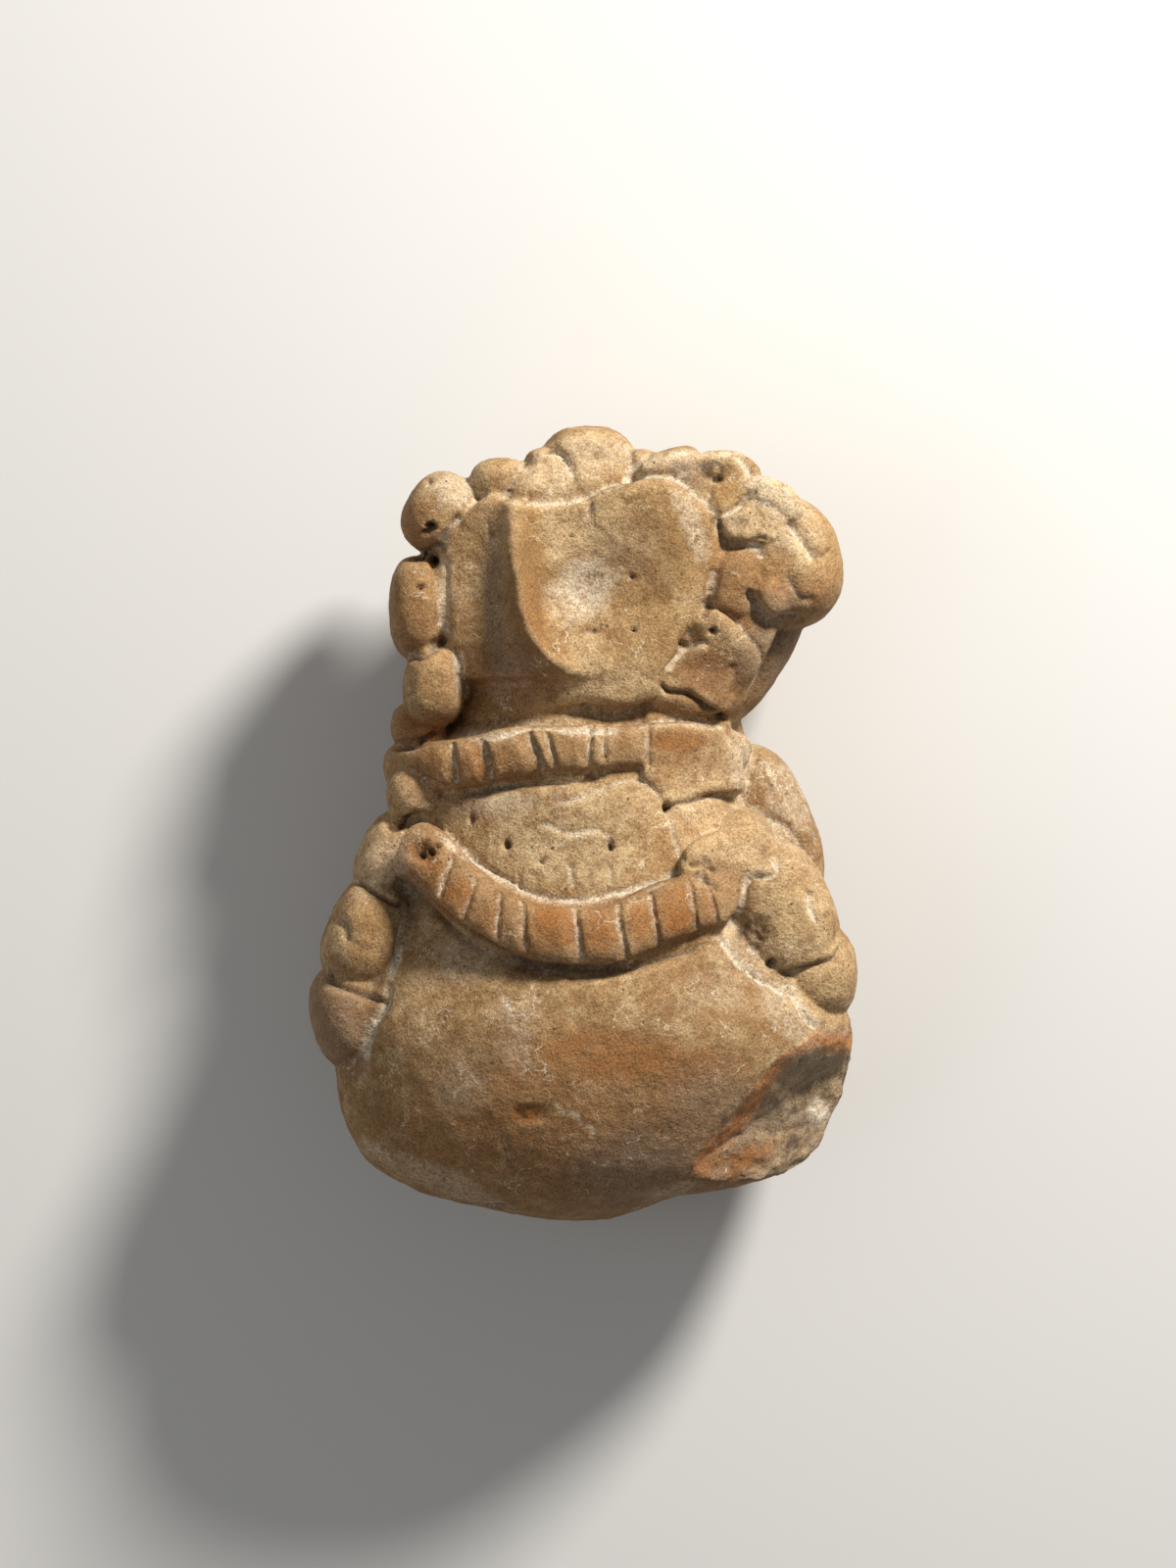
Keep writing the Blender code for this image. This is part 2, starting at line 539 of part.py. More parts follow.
def sink_pits(places, normals):
    """The deepest pits in the skin."""
    for x, y, wide, tall, depth in PITS:
        away = ((places[:, 0] - x) / wide) ** 2 + ((places[:, 1] - y) / tall) ** 2
        places -= normals * (depth * np.exp(-away) * (normals[:, 2] > 0.0))[:, None]


def plane_height(three, places):
    """Height of the plane through three points above every place."""
    a, b, c = (Vector(p) for p in three)
    up = (b - a).cross(c - a)
    return a.z - ((places[:, 0] - a.x) * up.x + (places[:, 1] - a.y) * up.y) / up.z


def break_corner(places):
    """Take away the clay above the two faces of the old break."""
    upper = plane_height(BREAK_UPPER, places)
    lower = plane_height(BREAK_LOWER, places)
    limit = np.maximum(upper, lower)
    near = (places[:, 0] > 0.0) & (places[:, 1] < BREAK_TOP)
    places[:, 2] = np.where(near, np.minimum(places[:, 2], limit), places[:, 2])


def uneven(places, normals):
    """Push the skin in and out a little, as fingers leave it."""
    waves = [noise.noise(Vector(place) / FINGER_WIDE) for place in places]
    places += normals * FINGER_DEEP * np.array(waves)[:, None]


def make_bust(parts, cutters):
    """The whole bust, one piece of fired clay."""
    clay = bmesh.new()
    add_core(clay)
    for pellets in (LEFT_LOCKS, LEFT_BRAID, TOP_LOCKS, RIGHT_LOCKS, RIGHT_BRAID, BACK_HAIR):
        add_pellets(clay, pellets)
    add_face(clay)
    for leaf in LEAVES:
        add_laid_leaf(clay, *leaf)
    add_roll(clay, CHOKER, CHOKER_THICK)
    add_roll(clay, NECKLACE, NECKLACE_THICK)
    skin = fused(clay)
    places = read(skin, "co")
    normals = read(skin, "normal")
    uneven(places, normals)
    press_cuts(places, normals, CHOKER_THICK, CHOKER_CUTS)
    press_cuts(places, normals, NECKLACE_THICK, NECKLACE_CUTS)
    carve_seams(places, normals)
    sink_pits(places, normals)
    break_corner(places)
    low = places.min(axis=0)
    high = places.max(axis=0)
    places[:, :2] -= (low[:2] + high[:2]) / 2.0
    write(skin, places * STEP)
    bust = bpy.data.objects.new("bust", skin)
    parts.objects.link(bust)
    thin = bust.modifiers.new("fewer faces", "DECIMATE")
    thin.ratio = FACES / (2.0 * len(skin.polygons))
    rest_on_back(bust, cutters)
    return bust


def rest_on_back(bust, cutters):
    """Worn flat where it lies: a box takes away what is below z = 0."""
    size = 2.0 * HEIGHT
    bpy.ops.mesh.primitive_cube_add(size=size, location=(0.0, 0.0, -size / 2.0))
    ground = bpy.context.object
    ground.name = "ground_cutter"
    for collection in list(ground.users_collection):
        collection.objects.unlink(ground)
    cutters.objects.link(ground)
    ground.hide_render = True
    ground.display_type = "WIRE"
    flat = bust.modifiers.new("resting flat", "BOOLEAN")
    flat.operation = "DIFFERENCE"
    flat.solver = "EXACT"
    flat.object = ground


def clay_material():
    """Fired sandy clay."""
    material = bpy.data.materials.new("fired_clay")
    material.use_nodes = True
    shader = material.node_tree.nodes["Principled BSDF"]
    shader.inputs["Base Color"].default_value = CLAY_COLOUR
    shader.inputs["Roughness"].default_value = CLAY_ROUGHNESS
    shader.inputs["Metallic"].default_value = 0.0
    return material


def main():
    for old in list(bpy.data.objects):
        bpy.data.objects.remove(old)
    parts = bpy.data.collections.new("bust")
    cutters = bpy.data.collections.new("cutters")
    bpy.context.scene.collection.children.link(parts)
    bpy.context.scene.collection.children.link(cutters)
    bust = make_bust(parts, cutters)
    bust.data.materials.append(clay_material())
    bust.data.shade_smooth()


main()
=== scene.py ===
"""The clay bust as the photograph shows it: one lump of fired clay, lying face up on a pale floor.

The skin repeats the solid's lumps at a finer grain and adds the seams, cuts, pits, breaks and deposits.
"""
import itertools
import math

import bmesh
import bpy
import numpy as np
from mathutils import Matrix, Vector


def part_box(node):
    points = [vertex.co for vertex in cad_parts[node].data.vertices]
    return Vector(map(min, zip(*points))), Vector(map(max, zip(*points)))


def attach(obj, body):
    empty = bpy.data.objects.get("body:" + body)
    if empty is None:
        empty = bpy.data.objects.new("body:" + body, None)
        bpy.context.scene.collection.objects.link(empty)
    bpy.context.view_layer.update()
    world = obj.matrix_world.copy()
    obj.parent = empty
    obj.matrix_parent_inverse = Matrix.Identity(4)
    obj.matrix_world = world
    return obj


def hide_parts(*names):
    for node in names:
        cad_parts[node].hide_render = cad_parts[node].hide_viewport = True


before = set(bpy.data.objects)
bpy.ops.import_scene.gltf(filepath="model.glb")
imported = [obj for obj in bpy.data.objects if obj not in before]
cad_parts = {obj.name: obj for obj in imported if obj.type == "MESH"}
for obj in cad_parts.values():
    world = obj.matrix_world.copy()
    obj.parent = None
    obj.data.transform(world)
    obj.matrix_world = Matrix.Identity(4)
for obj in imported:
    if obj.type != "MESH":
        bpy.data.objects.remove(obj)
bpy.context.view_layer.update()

# Places and sizes are in steps of about a millimetre, laid out as the solid is, and fitted to it at the end.
GRAIN = 0.27
MOST_TRIANGLES = 190000
BELLY_FRONT = 36.0
CHOKER_THICK = 2.35
NECKLACE_THICK = 3.05
NOSE_HEIGHT = 6.0
PELLET_SQUARENESS = 2.4
PELLET_FLATNESS = 3.0
ROLL_SQUARENESS = 2.8
PROFILE_SIDES = 32
RING_SIDES = 96
RINGS = 140
CURVE_STEPS = 4
ROLL_STEPS = 12
HOLLOW_ROUNDS = 24

# Small waves of the skin: height, size, seed.
SKIN_WAVES = ((0.3, 9.0, 3), (0.1, 2.4, 11))
GRAIN_WAVES = (0.07, 0.9, 51)
BREAK_WAVES = (0.3, 1.6, 55)
BREAK_EDGE_WAVES = (0.6, 3.2, 47)
RIDGE_WAVES = (0.3, 3.4, 45)
CUT_WAVES = (0.22, 2.4, 41)
# How seams and pits stray from their places: reach, size, seeds.
SEAM_STRAY = (0.13, 1.7, (21, 25))
PIT_STRAY = (0.15, 1.1, (35, 38))
CRUMBS = (1.0, 0.9, 31)

# Core sections: y, middle, half width, back, share of the belly's front, squareness.
BODY = (
    (0, -0.6, 3.0, 15.0, 0.62, 2.0), (0.7, -1.6, 6.4, 12.5, 0.7, 2.1), (2.4, -3.0, 12.2, 8.5, 0.81, 2.2),
    (3.6, -1.2, 17.3, 6.2, 0.86, 2.25), (6.0, 0, 22.3, 3.6, 0.92, 2.3), (10.5, 0.2, 24.9, 1.0, 0.975, 2.3),
    (15.5, 0.6, 26.1, -0.5, 1.0, 2.35), (20.5, 0.5, 26.1, -0.9, 0.995, 2.35),
    (26.0, 0, 24.2, -0.9, 0.95, 2.15), (32.0, 0, 21.6, -0.2, 0.885, 2.1),
    (38.0, -0.6, 18.6, 1.2, 0.862, 2.15), (43.0, -1.2, 16.8, 2.8, 0.845, 2.2),
    (48.0, -1.0, 15.0, 3.6, 0.78, 2.2), (52.0, -0.2, 13.5, 3.2, 0.69, 2.1),
    (59.0, 1.0, 13.2, 1.6, 0.69, 2.1), (66.0, 1.6, 13.6, 1.2, 0.7, 2.1), (72.0, 1.4, 12.2, 4.0, 0.67, 2.0),
    (76.0, 0.8, 7.5, 8.5, 0.6, 2.0), (77.6, 0.5, 3.0, 12.5, 0.52, 2.0),
)

# Pellets of hair: x, y, z of the middle, three half sizes, turn in degrees.
PELLETS = (
    # Locks at the left.
    (-14.8, 71.7, 18.8, 3.8, 4.4, 7.6, -32.0), (-17.2, 62.1, 18.8, 3.0, 5.4, 7.8, 2.0),
    (-15.6, 54.3, 20.2, 3.1, 4.2, 7.4, -4.0), (-17.2, 50.2, 17.0, 2.9, 2.6, 7.0, 0),
    (-17.1, 43.2, 18.6, 3.3, 3.2, 7.8, 12.0),
    # Braid at the left.
    (-19.8, 36.8, 17.5, 3.6, 4.8, 8.8, -24.0), (-18.0, 34.0, 16.6, 2.6, 2.6, 8.8, 0),
    (-18.3, 35.9, 25.0, 0.9, 0.7, 3.2, 0), (-22.0, 29.0, 18.2, 4.5, 6.3, 10.6, -24.0),
    (-23.6, 20.8, 17.0, 4.4, 5.6, 11.2, 16.0),
    # Locks on top.
    (-8.8, 75.0, 20.5, 3.2, 2.4, 5.4, 0), (-4.0, 76.2, 19.5, 2.7, 2.2, 5.0, -20.0),
    (0, 76.6, 16.5, 5.0, 4.3, 7.6, 0), (5.2, 76.3, 18.6, 2.5, 2.2, 5.4, 0),
    (7.8, 76.4, 18.8, 4.0, 1.9, 7.2, 20.0),
    # Locks at the right.
    (19.8, 66.7, 17.0, 6.1, 6.6, 9.2, 14.0), (15.6, 70.6, 15.5, 6.2, 5.4, 9.4, -30.0),
    (14.9, 64.6, 19.8, 3.3, 4.4, 7.2, -15.0), (18.4, 63.4, 19.0, 2.4, 3.4, 7.4, 12.0),
    (15.2, 57.8, 12.4, 4.8, 9.2, 8.4, -34.0), (11.6, 67.2, 15.4, 5.0, 10.0, 10.4, -6.0),
    (9.4, 74.4, 14.0, 4.0, 3.2, 10.8, -20.0), (11.0, 59.4, 15.4, 5.0, 5.0, 9.6, -20.0),
    (9.4, 54.4, 15.0, 5.0, 6.0, 9.2, 0),
    # Braid at the right.
    (19.1, 31.2, 19.4, 5.9, 7.5, 11.0, 24.0), (23.2, 25.2, 18.0, 4.1, 4.9, 10.4, -2.0),
    (15.0, 37.0, 18.0, 4.2, 5.0, 9.0, 0),
    # Hair down the back.
    (18.3, 39.6, 11.0, 5.0, 9.0, 8.0, 21.0), (2.0, 38.5, 9.2, 20.0, 10.5, 9.0, 0),
    (0.8, 48.0, 9.0, 15.4, 8.0, 7.6, 0), (1.0, 62.0, 7.8, 14.6, 13.0, 8.6, 0),
)

# Leaves of clay laid on flat: outline x, y; height, fall to the right, fall upwards, softness of the edge.
BRAID_END = (
    ((7.4, 55.7), (9.4, 58.1), (10.3, 59.0), (10.7, 61.2), (12.8, 61.9), (15.4, 60.1), (17.5, 56.8),
     (16.3, 54.0), (15.8, 52.4), (14.2, 51.1), (11.8, 52.3), (10.1, 53.4), (8.1, 53.8)),
    26.0, 0.12, -0.34, 1.5,
)
LOWER_LOCK = (
    ((6.8, 52.7), (8.1, 53.8), (10.1, 53.4), (11.8, 52.2), (14.2, 51.2), (14.6, 49.8), (13.6, 49.2),
     (6.4, 49.4), (5.4, 50.8)),
    24.4, 0.3, 0.1, 1.0,
)
TORN_LOCK = (
    ((7.7, 75.6), (8.4, 77.2), (10.7, 77.8), (13.8, 78.1), (16.0, 77.5), (17.5, 76.2), (17.2, 74.4),
     (15.4, 72.7), (13.0, 70.6), (11.1, 72.0), (9.2, 73.6)),
    25.7, 0.08, 0.2, 0.9,
)
FOLDED_LOCK = (
    ((13.3, 71.2), (15.4, 72.5), (17.2, 75.2), (19.3, 75.0), (21.5, 73.4), (21.6, 70.4), (19.0, 68.4),
     (15.7, 68.6), (14.0, 69.0)),
    26.3, 0.1, 0.12, 1.0,
)
CHOKER_END = (
    ((5.8, 50.0), (10.0, 50.3), (13.5, 49.9), (15.6, 47.3), (16.0, 44.3), (15.4, 43.3), (12.4, 43.0),
     (9.8, 42.4), (8.1, 41.8), (6.9, 43.2), (5.6, 44.6)),
    27.0, 0.6, -0.03, 0.9,
)
BROW_LOCK = (
    ((-8.2, 73.2), (-7.4, 75.2), (-6.4, 77.2), (-5.0, 78.3), (-3.4, 78.6), (-2.0, 77.4), (0.6, 77.9),
     (3.4, 77.4), (4.8, 76.0), (4.0, 74.4), (0.4, 73.2), (-4.0, 72.6)),
    24.9, 0.0, 0.62, 1.6,
)
HAIR_BED = (
    ((5.0, 76.6), (9.0, 77.0), (14.0, 76.6), (18.0, 73.6), (20.4, 69.0), (19.6, 62.0), (18.0, 57.2),
     (13.8, 51.6), (8.6, 51.6), (5.6, 53.6), (8.0, 60.0), (10.0, 66.0), (9.6, 71.0)),
    25.6, 0.16, 0.03, 1.6,
)
BRAID_START = (
    ((9.4, 36.6), (11.4, 38.9), (14.6, 39.8), (18.0, 39.4), (19.6, 37.4), (18.6, 35.3), (16.5, 34.9),
     (15.6, 33.6), (15.3, 32.0), (13.9, 29.6), (12.0, 29.4), (10.0, 31.0)),
    30.0, 0.56, 0.08, 1.2,
)
LEAVES = (HAIR_BED, BROW_LOCK, BRAID_END, LOWER_LOCK, TORN_LOCK, FOLDED_LOCK, CHOKER_END, BRAID_START)
LEAF_ROOT = 14.0

# Rolls of clay: x, y, z along the middle, share of the roll's thickness.
CHOKER = (
    (-15.5, 46.0, 8.0, 0.8), (-18.4, 46.1, 14.0, 0.95), (-18.0, 46.1, 20.0, 1.0), (-15.6, 46.0, 24.4, 1.0),
    (-11.5, 46.5, 27.3, 1.05), (-6.0, 47.7, 28.7, 1.05), (-1.0, 48.0, 29.0, 0.95), (3.6, 48.0, 28.4, 0.9),
    (6.8, 48.2, 26.9, 0.95), (11.0, 48.2, 24.0, 1.0), (15.0, 47.4, 18.5, 0.9),
)
# Cuts pressed across a roll: x, y of the middle, lean in degrees, width of the slope beside it, depth.
CHOKER_CUTS = (
    (-17.0, 46.1, 23.0, 0.8, 0.6), (-13.2, 46.5, 10.0, 1.3, 0.85), (-9.9, 47.0, 18.0, 1.7, 1.0),
    (-5.0, 47.6, 19.0, 1.7, 0.95), (-3.6, 47.7, 16.0, 1.0, 0.6), (0.3, 48.3, 0, 1.2, 0.7),
    (1.7, 48.9, 0, 0.6, 0.5), (6.2, 48.1, 0, 0.9, 0.45),
)
NECKLACE = (
    (-17.1, 37.4, 27.8, 1.02), (-16.1, 36.9, 28.8, 1.0), (-14.6, 35.5, 29.9, 0.97),
    (-12.2, 33.1, 31.0, 0.98), (-9.8, 31.2, 32.2, 1.0), (-6.2, 29.6, 33.2, 1.0), (-2.0, 28.9, 33.6, 1.0),
    (2.4, 29.1, 33.4, 1.0), (5.2, 30.3, 32.8, 0.98), (8.2, 31.6, 31.6, 0.96), (11.4, 32.4, 29.6, 0.94),
    (14.0, 33.4, 27.0, 0.9),
)
NECKLACE_CUTS = (
    (-13.8, 35.8, -20.0, 0.6, 0.5), (-11.4, 33.5, -17.0, 0.9, 0.5), (-8.7, 31.9, -3.0, 1.0, 0.55),
    (-6.2, 30.7, 6.0, 1.0, 0.65), (-0.8, 29.5, 7.0, 1.4, 0.75), (3.4, 30.0, 11.0, 1.2, 0.6),
    (6.7, 31.0, 13.0, 1.2, 0.6), (10.7, 32.2, 12.0, 1.2, 0.55), (12.4, 33.0, 15.0, 0.8, 0.5),
)
# Their steep wall, length, ends and floor, and the painted highlight on the slope.
CUT_WALL = 0.35
CUT_REACH = 2.0
CUT_NEAR = 1.4
CUT_LENGTH = 1.15
CUT_END = 0.9
CUT_FLOOR = 2.2
CUT_FADE = 0.8
CUT_HIGHLIGHT_PLACE = 0.3
CUT_HIGHLIGHT_WIDTH = 0.25
CUT_HIGHLIGHT = 0.45

# Seams and creases: depth, width, rise of the lip (positive at the left), pale deposit, line as x, y, x, y.
SEAMS = (
    # Hair at the right.
    (0.2, 0.3, 0, 0.5, (7.8, 76.4, 8.4, 75.8, 10.2, 74.2, 12.4, 72.1, 13.5, 71.1)),
    (0.5, 0.3, 0.5, 0.5, (13.4, 71.3, 14.8, 72.1, 15.8, 73.0, 17.2, 74.1)),
    (0.4, 0.3, 0, 0.3, (12.9, 75.4, 12.2, 73.6, 12.0, 72.1)),
    (0.3, 0.4, -0.3, 0.8, (8.4, 76.2, 8.5, 77.2, 10.7, 77.8, 13.8, 77.7, 15.4, 76.8, 16.9, 74.2)),
    (0.4, 0.35, 0.5, 0.2, (13.3, 71.5, 13.6, 70.1, 14.0, 69.0, 15.6, 68.7, 16.6, 68.7)),
    (0.3, 0.4, 0, 0.7, (16.2, 68.8, 17.3, 67.9, 17.6, 66.8)),
    (0.2, 0.5, 0.3, 0.6, (15.6, 73.4, 18.0, 72.7, 20.0, 71.4, 20.6, 70.8)),
    (1.0, 0.7, -0.5, 0.6, (19.9, 70.8, 21.6, 68.7, 23.2, 66.5)),
    (0.4, 0.5, 0.2, 0.2, (20.4, 65.5, 20.9, 64.0, 21.6, 63.0, 23.0, 63.3)),
    (1.1, 0.7, 0.8, 0.3, (16.3, 64.2, 17.3, 62.0, 18.7, 60.8, 20.4, 61.2, 22.4, 60.6)),
    (0.4, 0.5, 0, 0.3, (12.9, 66.0, 12.4, 63.6, 12.2, 61.8)),
    (0.5, 0.3, -0.5, 0.2, (11.8, 61.2, 12.8, 62.0, 14.4, 61.0, 16.5, 58.6, 17.6, 56.8, 16.4, 53.8)),
    (0.5, 0.3, -0.6, 0.4, (7.8, 55.4, 8.7, 56.6, 9.9, 57.7, 11.2, 58.3, 12.4, 58.1)),
    (1.0, 0.35, 0.7, 0, (7.6, 54.8, 8.1, 53.7, 10.1, 53.4, 11.8, 52.3, 13.0, 51.6, 14.6, 50.9)),
    (0.35, 0.5, 0, 0, (14.5, 56.6, 15.0, 54.6, 14.6, 53.0)),
    (0.5, 0.3, -0.4, 0.8, (3.8, 50.2, 5.4, 50.0, 6.5, 50.3, 8.9, 50.5, 12.2, 50.1, 14.4, 50.0)),
    # Hair at the left.
    (0.8, 0.4, 0, 0.2, (-18.8, 67.9, -17.4, 67.4, -15.4, 67.8, -14.6, 68.6)),
    (0.4, 0.25, 0, 0, (-16.2, 75.2, -15.8, 74.6)),
    (0.5, 0.35, 0, 0.3, (-12.8, 71.6, -13.6, 70.4, -15.0, 68.4)),
    (0.5, 0.5, 0, 0.5, (-14.6, 67.6, -14.4, 64.0, -14.4, 60.4, -13.8, 58.6)),
    (0.7, 0.4, 0, 0.2, (-19.4, 57.2, -17.6, 57.0, -16.2, 57.6, -14.8, 58.8)),
    (0.5, 0.5, 0, 0.8, (-13.2, 58.0, -12.7, 55.2, -12.6, 52.4)),
    (0.8, 0.35, 0, 0, (-20.0, 48.0, -17.9, 48.2, -16.2, 48.8, -14.6, 49.6)),
    (0.5, 0.5, 0.3, 0, (-18.2, 46.4, -17.0, 45.4, -15.0, 44.3, -13.2, 43.6)),
    (1.0, 0.45, 0.3, 0, (-20.6, 40.5, -19.4, 40.1, -18.2, 40.6, -17.0, 41.0, -16.0, 41.0)),
    (0.8, 0.35, 0.3, 0, (-24.0, 34.8, -21.5, 33.6, -19.8, 32.5, -18.2, 32.0)),
    (0.6, 0.5, 0.3, 0.2, (-26.4, 31.4, -25.0, 30.6, -24.2, 29.9, -24.2, 28.2)),
    (0.7, 0.35, 0.2, 0.1, (-27.6, 27.4, -26.1, 25.1, -25.2, 24.1, -22.7, 23.2, -21.0, 22.6, -20.0, 23.2)),
    (0.3, 0.3, 0, 0.9, (-18.3, 32.2, -18.9, 29.0, -19.2, 26.6, -20.0, 24.0)),
    (0.6, 0.4, 0, 0.9, (-19.8, 24.6, -20.4, 22.2, -21.3, 20.5, -22.2, 18.2, -22.6, 15.8)),
    # Beside the band and the necklace.
    (0.8, 0.4, 0.2, 0, (-13.6, 43.4, -11.1, 43.4, -9.2, 43.9, -5.8, 44.4, -0.2, 44.8, 2.6, 45.6)),
    (0.3, 0.45, 0, 0.4, (-2.4, 51.2, -0.6, 51.6, 1.6, 51.0, 3.4, 51.3, 5.6, 52.2)),
    (0.5, 0.4, 0, 0.9, (-13.6, 49.4, -8.6, 49.2, -5.6, 50.2, -1.8, 49.8, 2.0, 49.6, 4.2, 50.0)),
    (0.4, 0.3, 0, 0.9, (-15.8, 40.4, -13.4, 38.0, -9.0, 35.2, -5.2, 33.2, -0.8, 32.6, 3.6, 33.6, 7.0, 34.4,
                        10.2, 36.0)),
    (1.0, 0.5, 0, 0, (-17.4, 33.6, -14.0, 30.6, -11.6, 29.0, -8.2, 27.0, -4.2, 25.7, 2.6, 25.6, 6.8, 26.8,
                      11.2, 28.0, 13.6, 29.2)),
    (0.5, 0.25, 0, 0, (10.0, 36.0, 11.6, 36.2, 12.9, 35.2)),
    (0.4, 0.25, 0, 0, (11.2, 37.0, 12.5, 36.2)),
    (0.5, 0.25, 0, 0.2, (10.5, 35.3, 12.4, 34.3, 13.1, 33.2)),
    # Chest.
    (0.3, 0.3, -0.4, 0.4, (-4.0, 42.2, -1.4, 42.5, 1.0, 43.4, 3.6, 44.4, 5.7, 44.3, 6.9, 43.1, 8.0, 41.9)),
    (0.6, 0.35, 0.4, 0, (7.6, 41.6, 8.2, 41.9, 9.8, 42.5, 12.4, 43.1, 15.8, 43.4)),
    (0.25, 0.25, -0.15, 0.6, (-5.4, 39.9, -4.0, 40.1, -2.2, 39.3, 0.4, 39.4, 2.0, 39.0, 2.4, 37.6)),
    (0.3, 0.25, 0, 0.5, (8.0, 41.6, 8.9, 38.4, 9.2, 37.2, 10.1, 36.0)),
    (0.3, 0.2, 0, 0.5, (-1.8, 36.4, -1.5, 33.7)),
    (0.3, 0.2, 0, 0.5, (2.2, 36.2, 2.3, 34.2)),
    (0.3, 0.2, 0, 0.3, (-6.9, 35.4, -6.8, 33.6)),
    # Braid at the right.
    (0.6, 0.35, -0.5, 0.5, (19.0, 37.4, 18.7, 35.3, 16.5, 35.0, 15.7, 34.0, 15.4, 32.2, 14.2, 30.2,
                            13.2, 29.2)),
    (0.8, 0.3, 0.5, 0.1, (19.4, 25.4, 21.5, 25.8, 23.6, 26.4, 24.9, 26.9, 25.6, 28.6)),
    (0.5, 0.35, -0.3, 0.9, (22.2, 33.6, 22.4, 31.6, 23.3, 30.0)),
    (0.5, 0.4, -0.4, 0.8, (23.6, 19.6, 21.8, 21.1, 20.9, 22.8, 19.4, 24.6)),
    (0.5, 0.4, 0.3, 0.8, (13.0, 29.4, 14.8, 26.9, 16.5, 25.2, 19.2, 23.7, 20.6, 22.6)),
    (0.7, 0.5, -0.5, 0.4, (15.4, 42.2, 18.3, 40.7, 20.1, 39.9, 21.2, 38.7, 22.4, 36.6, 23.9, 32.8)),
    # Combed hair.
    (0.35, 0.35, 0, 0.3, (16.8, 47.6, 18.3, 44.5, 19.0, 41.6)),
    (0.4, 0.35, 0, 0.5, (18.0, 47.4, 20.1, 43.4, 20.8, 40.6)),
    (0.4, 0.35, 0, 0.5, (19.4, 47.0, 21.5, 43.1, 22.4, 39.6)),
    (0.4, 0.35, 0, 0.4, (21.0, 46.0, 22.8, 42.4, 23.6, 37.6)),
    # Brow and top locks.
    (0.5, 0.35, -0.3, 0.6, (-9.4, 72.9, -6.0, 72.6, -3.0, 72.6, -0.2, 73.0, 2.6, 74.2, 6.0, 75.4, 8.4, 75.2,
                            10.4, 73.7)),
    (0.5, 0.3, 0, 0, (0.1, 73.4, 0.2, 72.3, 0.3, 70.8)),
    (0.6, 0.4, 0, 0.4, (-5.8, 78.0, -6.4, 77.0, -7.6, 74.4, -8.8, 72.8)),
    (0.6, 0.4, 0.3, 0.5, (-3.8, 78.4, -2.4, 77.4, -1.5, 76.0, -1.4, 74.6)),
    (0.5, 0.35, 0, 0.4, (3.8, 79.2, 4.3, 77.6, 4.0, 75.6, 3.6, 74.8)),
    (0.5, 0.35, 0, 0.2, (6.6, 78.2, 5.0, 76.6, 4.0, 75.2)),
    # Body, with its longest pale threads.
    (0.3, 0.2, 0, 0.2, (-8.6, 9.2, -8.0, 7.4, -7.4, 5.7)),
    (0.03, 0.15, 0, 0.6, (-14.7, 27.9, -13.4, 27.5, -12.4, 26.4, -11.3, 26.0, -10.2, 24.9)),
    (0.03, 0.15, 0, 0.6, (-8.8, 24.4, -8.4, 22.6, -7.3, 20.9, -7.2, 19.4)),
    (0.03, 0.15, 0, 0.5, (-6.9, 18.4, -5.8, 17.0, -6.2, 15.7)),
    (0.03, 0.15, 0, 0.6, (-13.4, 12.9, -12.8, 13.9, -12.0, 14.2, -11.6, 15.2)),
    (0.03, 0.15, 0, 0.5, (-3.4, 12.8, -2.4, 11.6, -1.2, 11.4, -0.4, 10.0)),
    (0.03, 0.15, 0, 0.5, (-1.6, 12.2, -1.0, 10.8, 0.4, 9.8, 0.6, 8.4)),
    (0.15, 0.2, 0, 0, (-10.1, 70.9, -9.9, 69.6, -9.6, 68.6)),
)
# Their lips, ends, pale deposit, and the painted shade along their cracks.
LIP_REACH = 1.5
LIP_EDGE = 0.35
SEAM_FACING = 0.35
SEAM_END = 0.12
SEAM_SHAPE = 1.5
POWDER_MARGIN = 0.15
CRACK_SHARE = 1.6
CRACK_WIDTH = 0.28

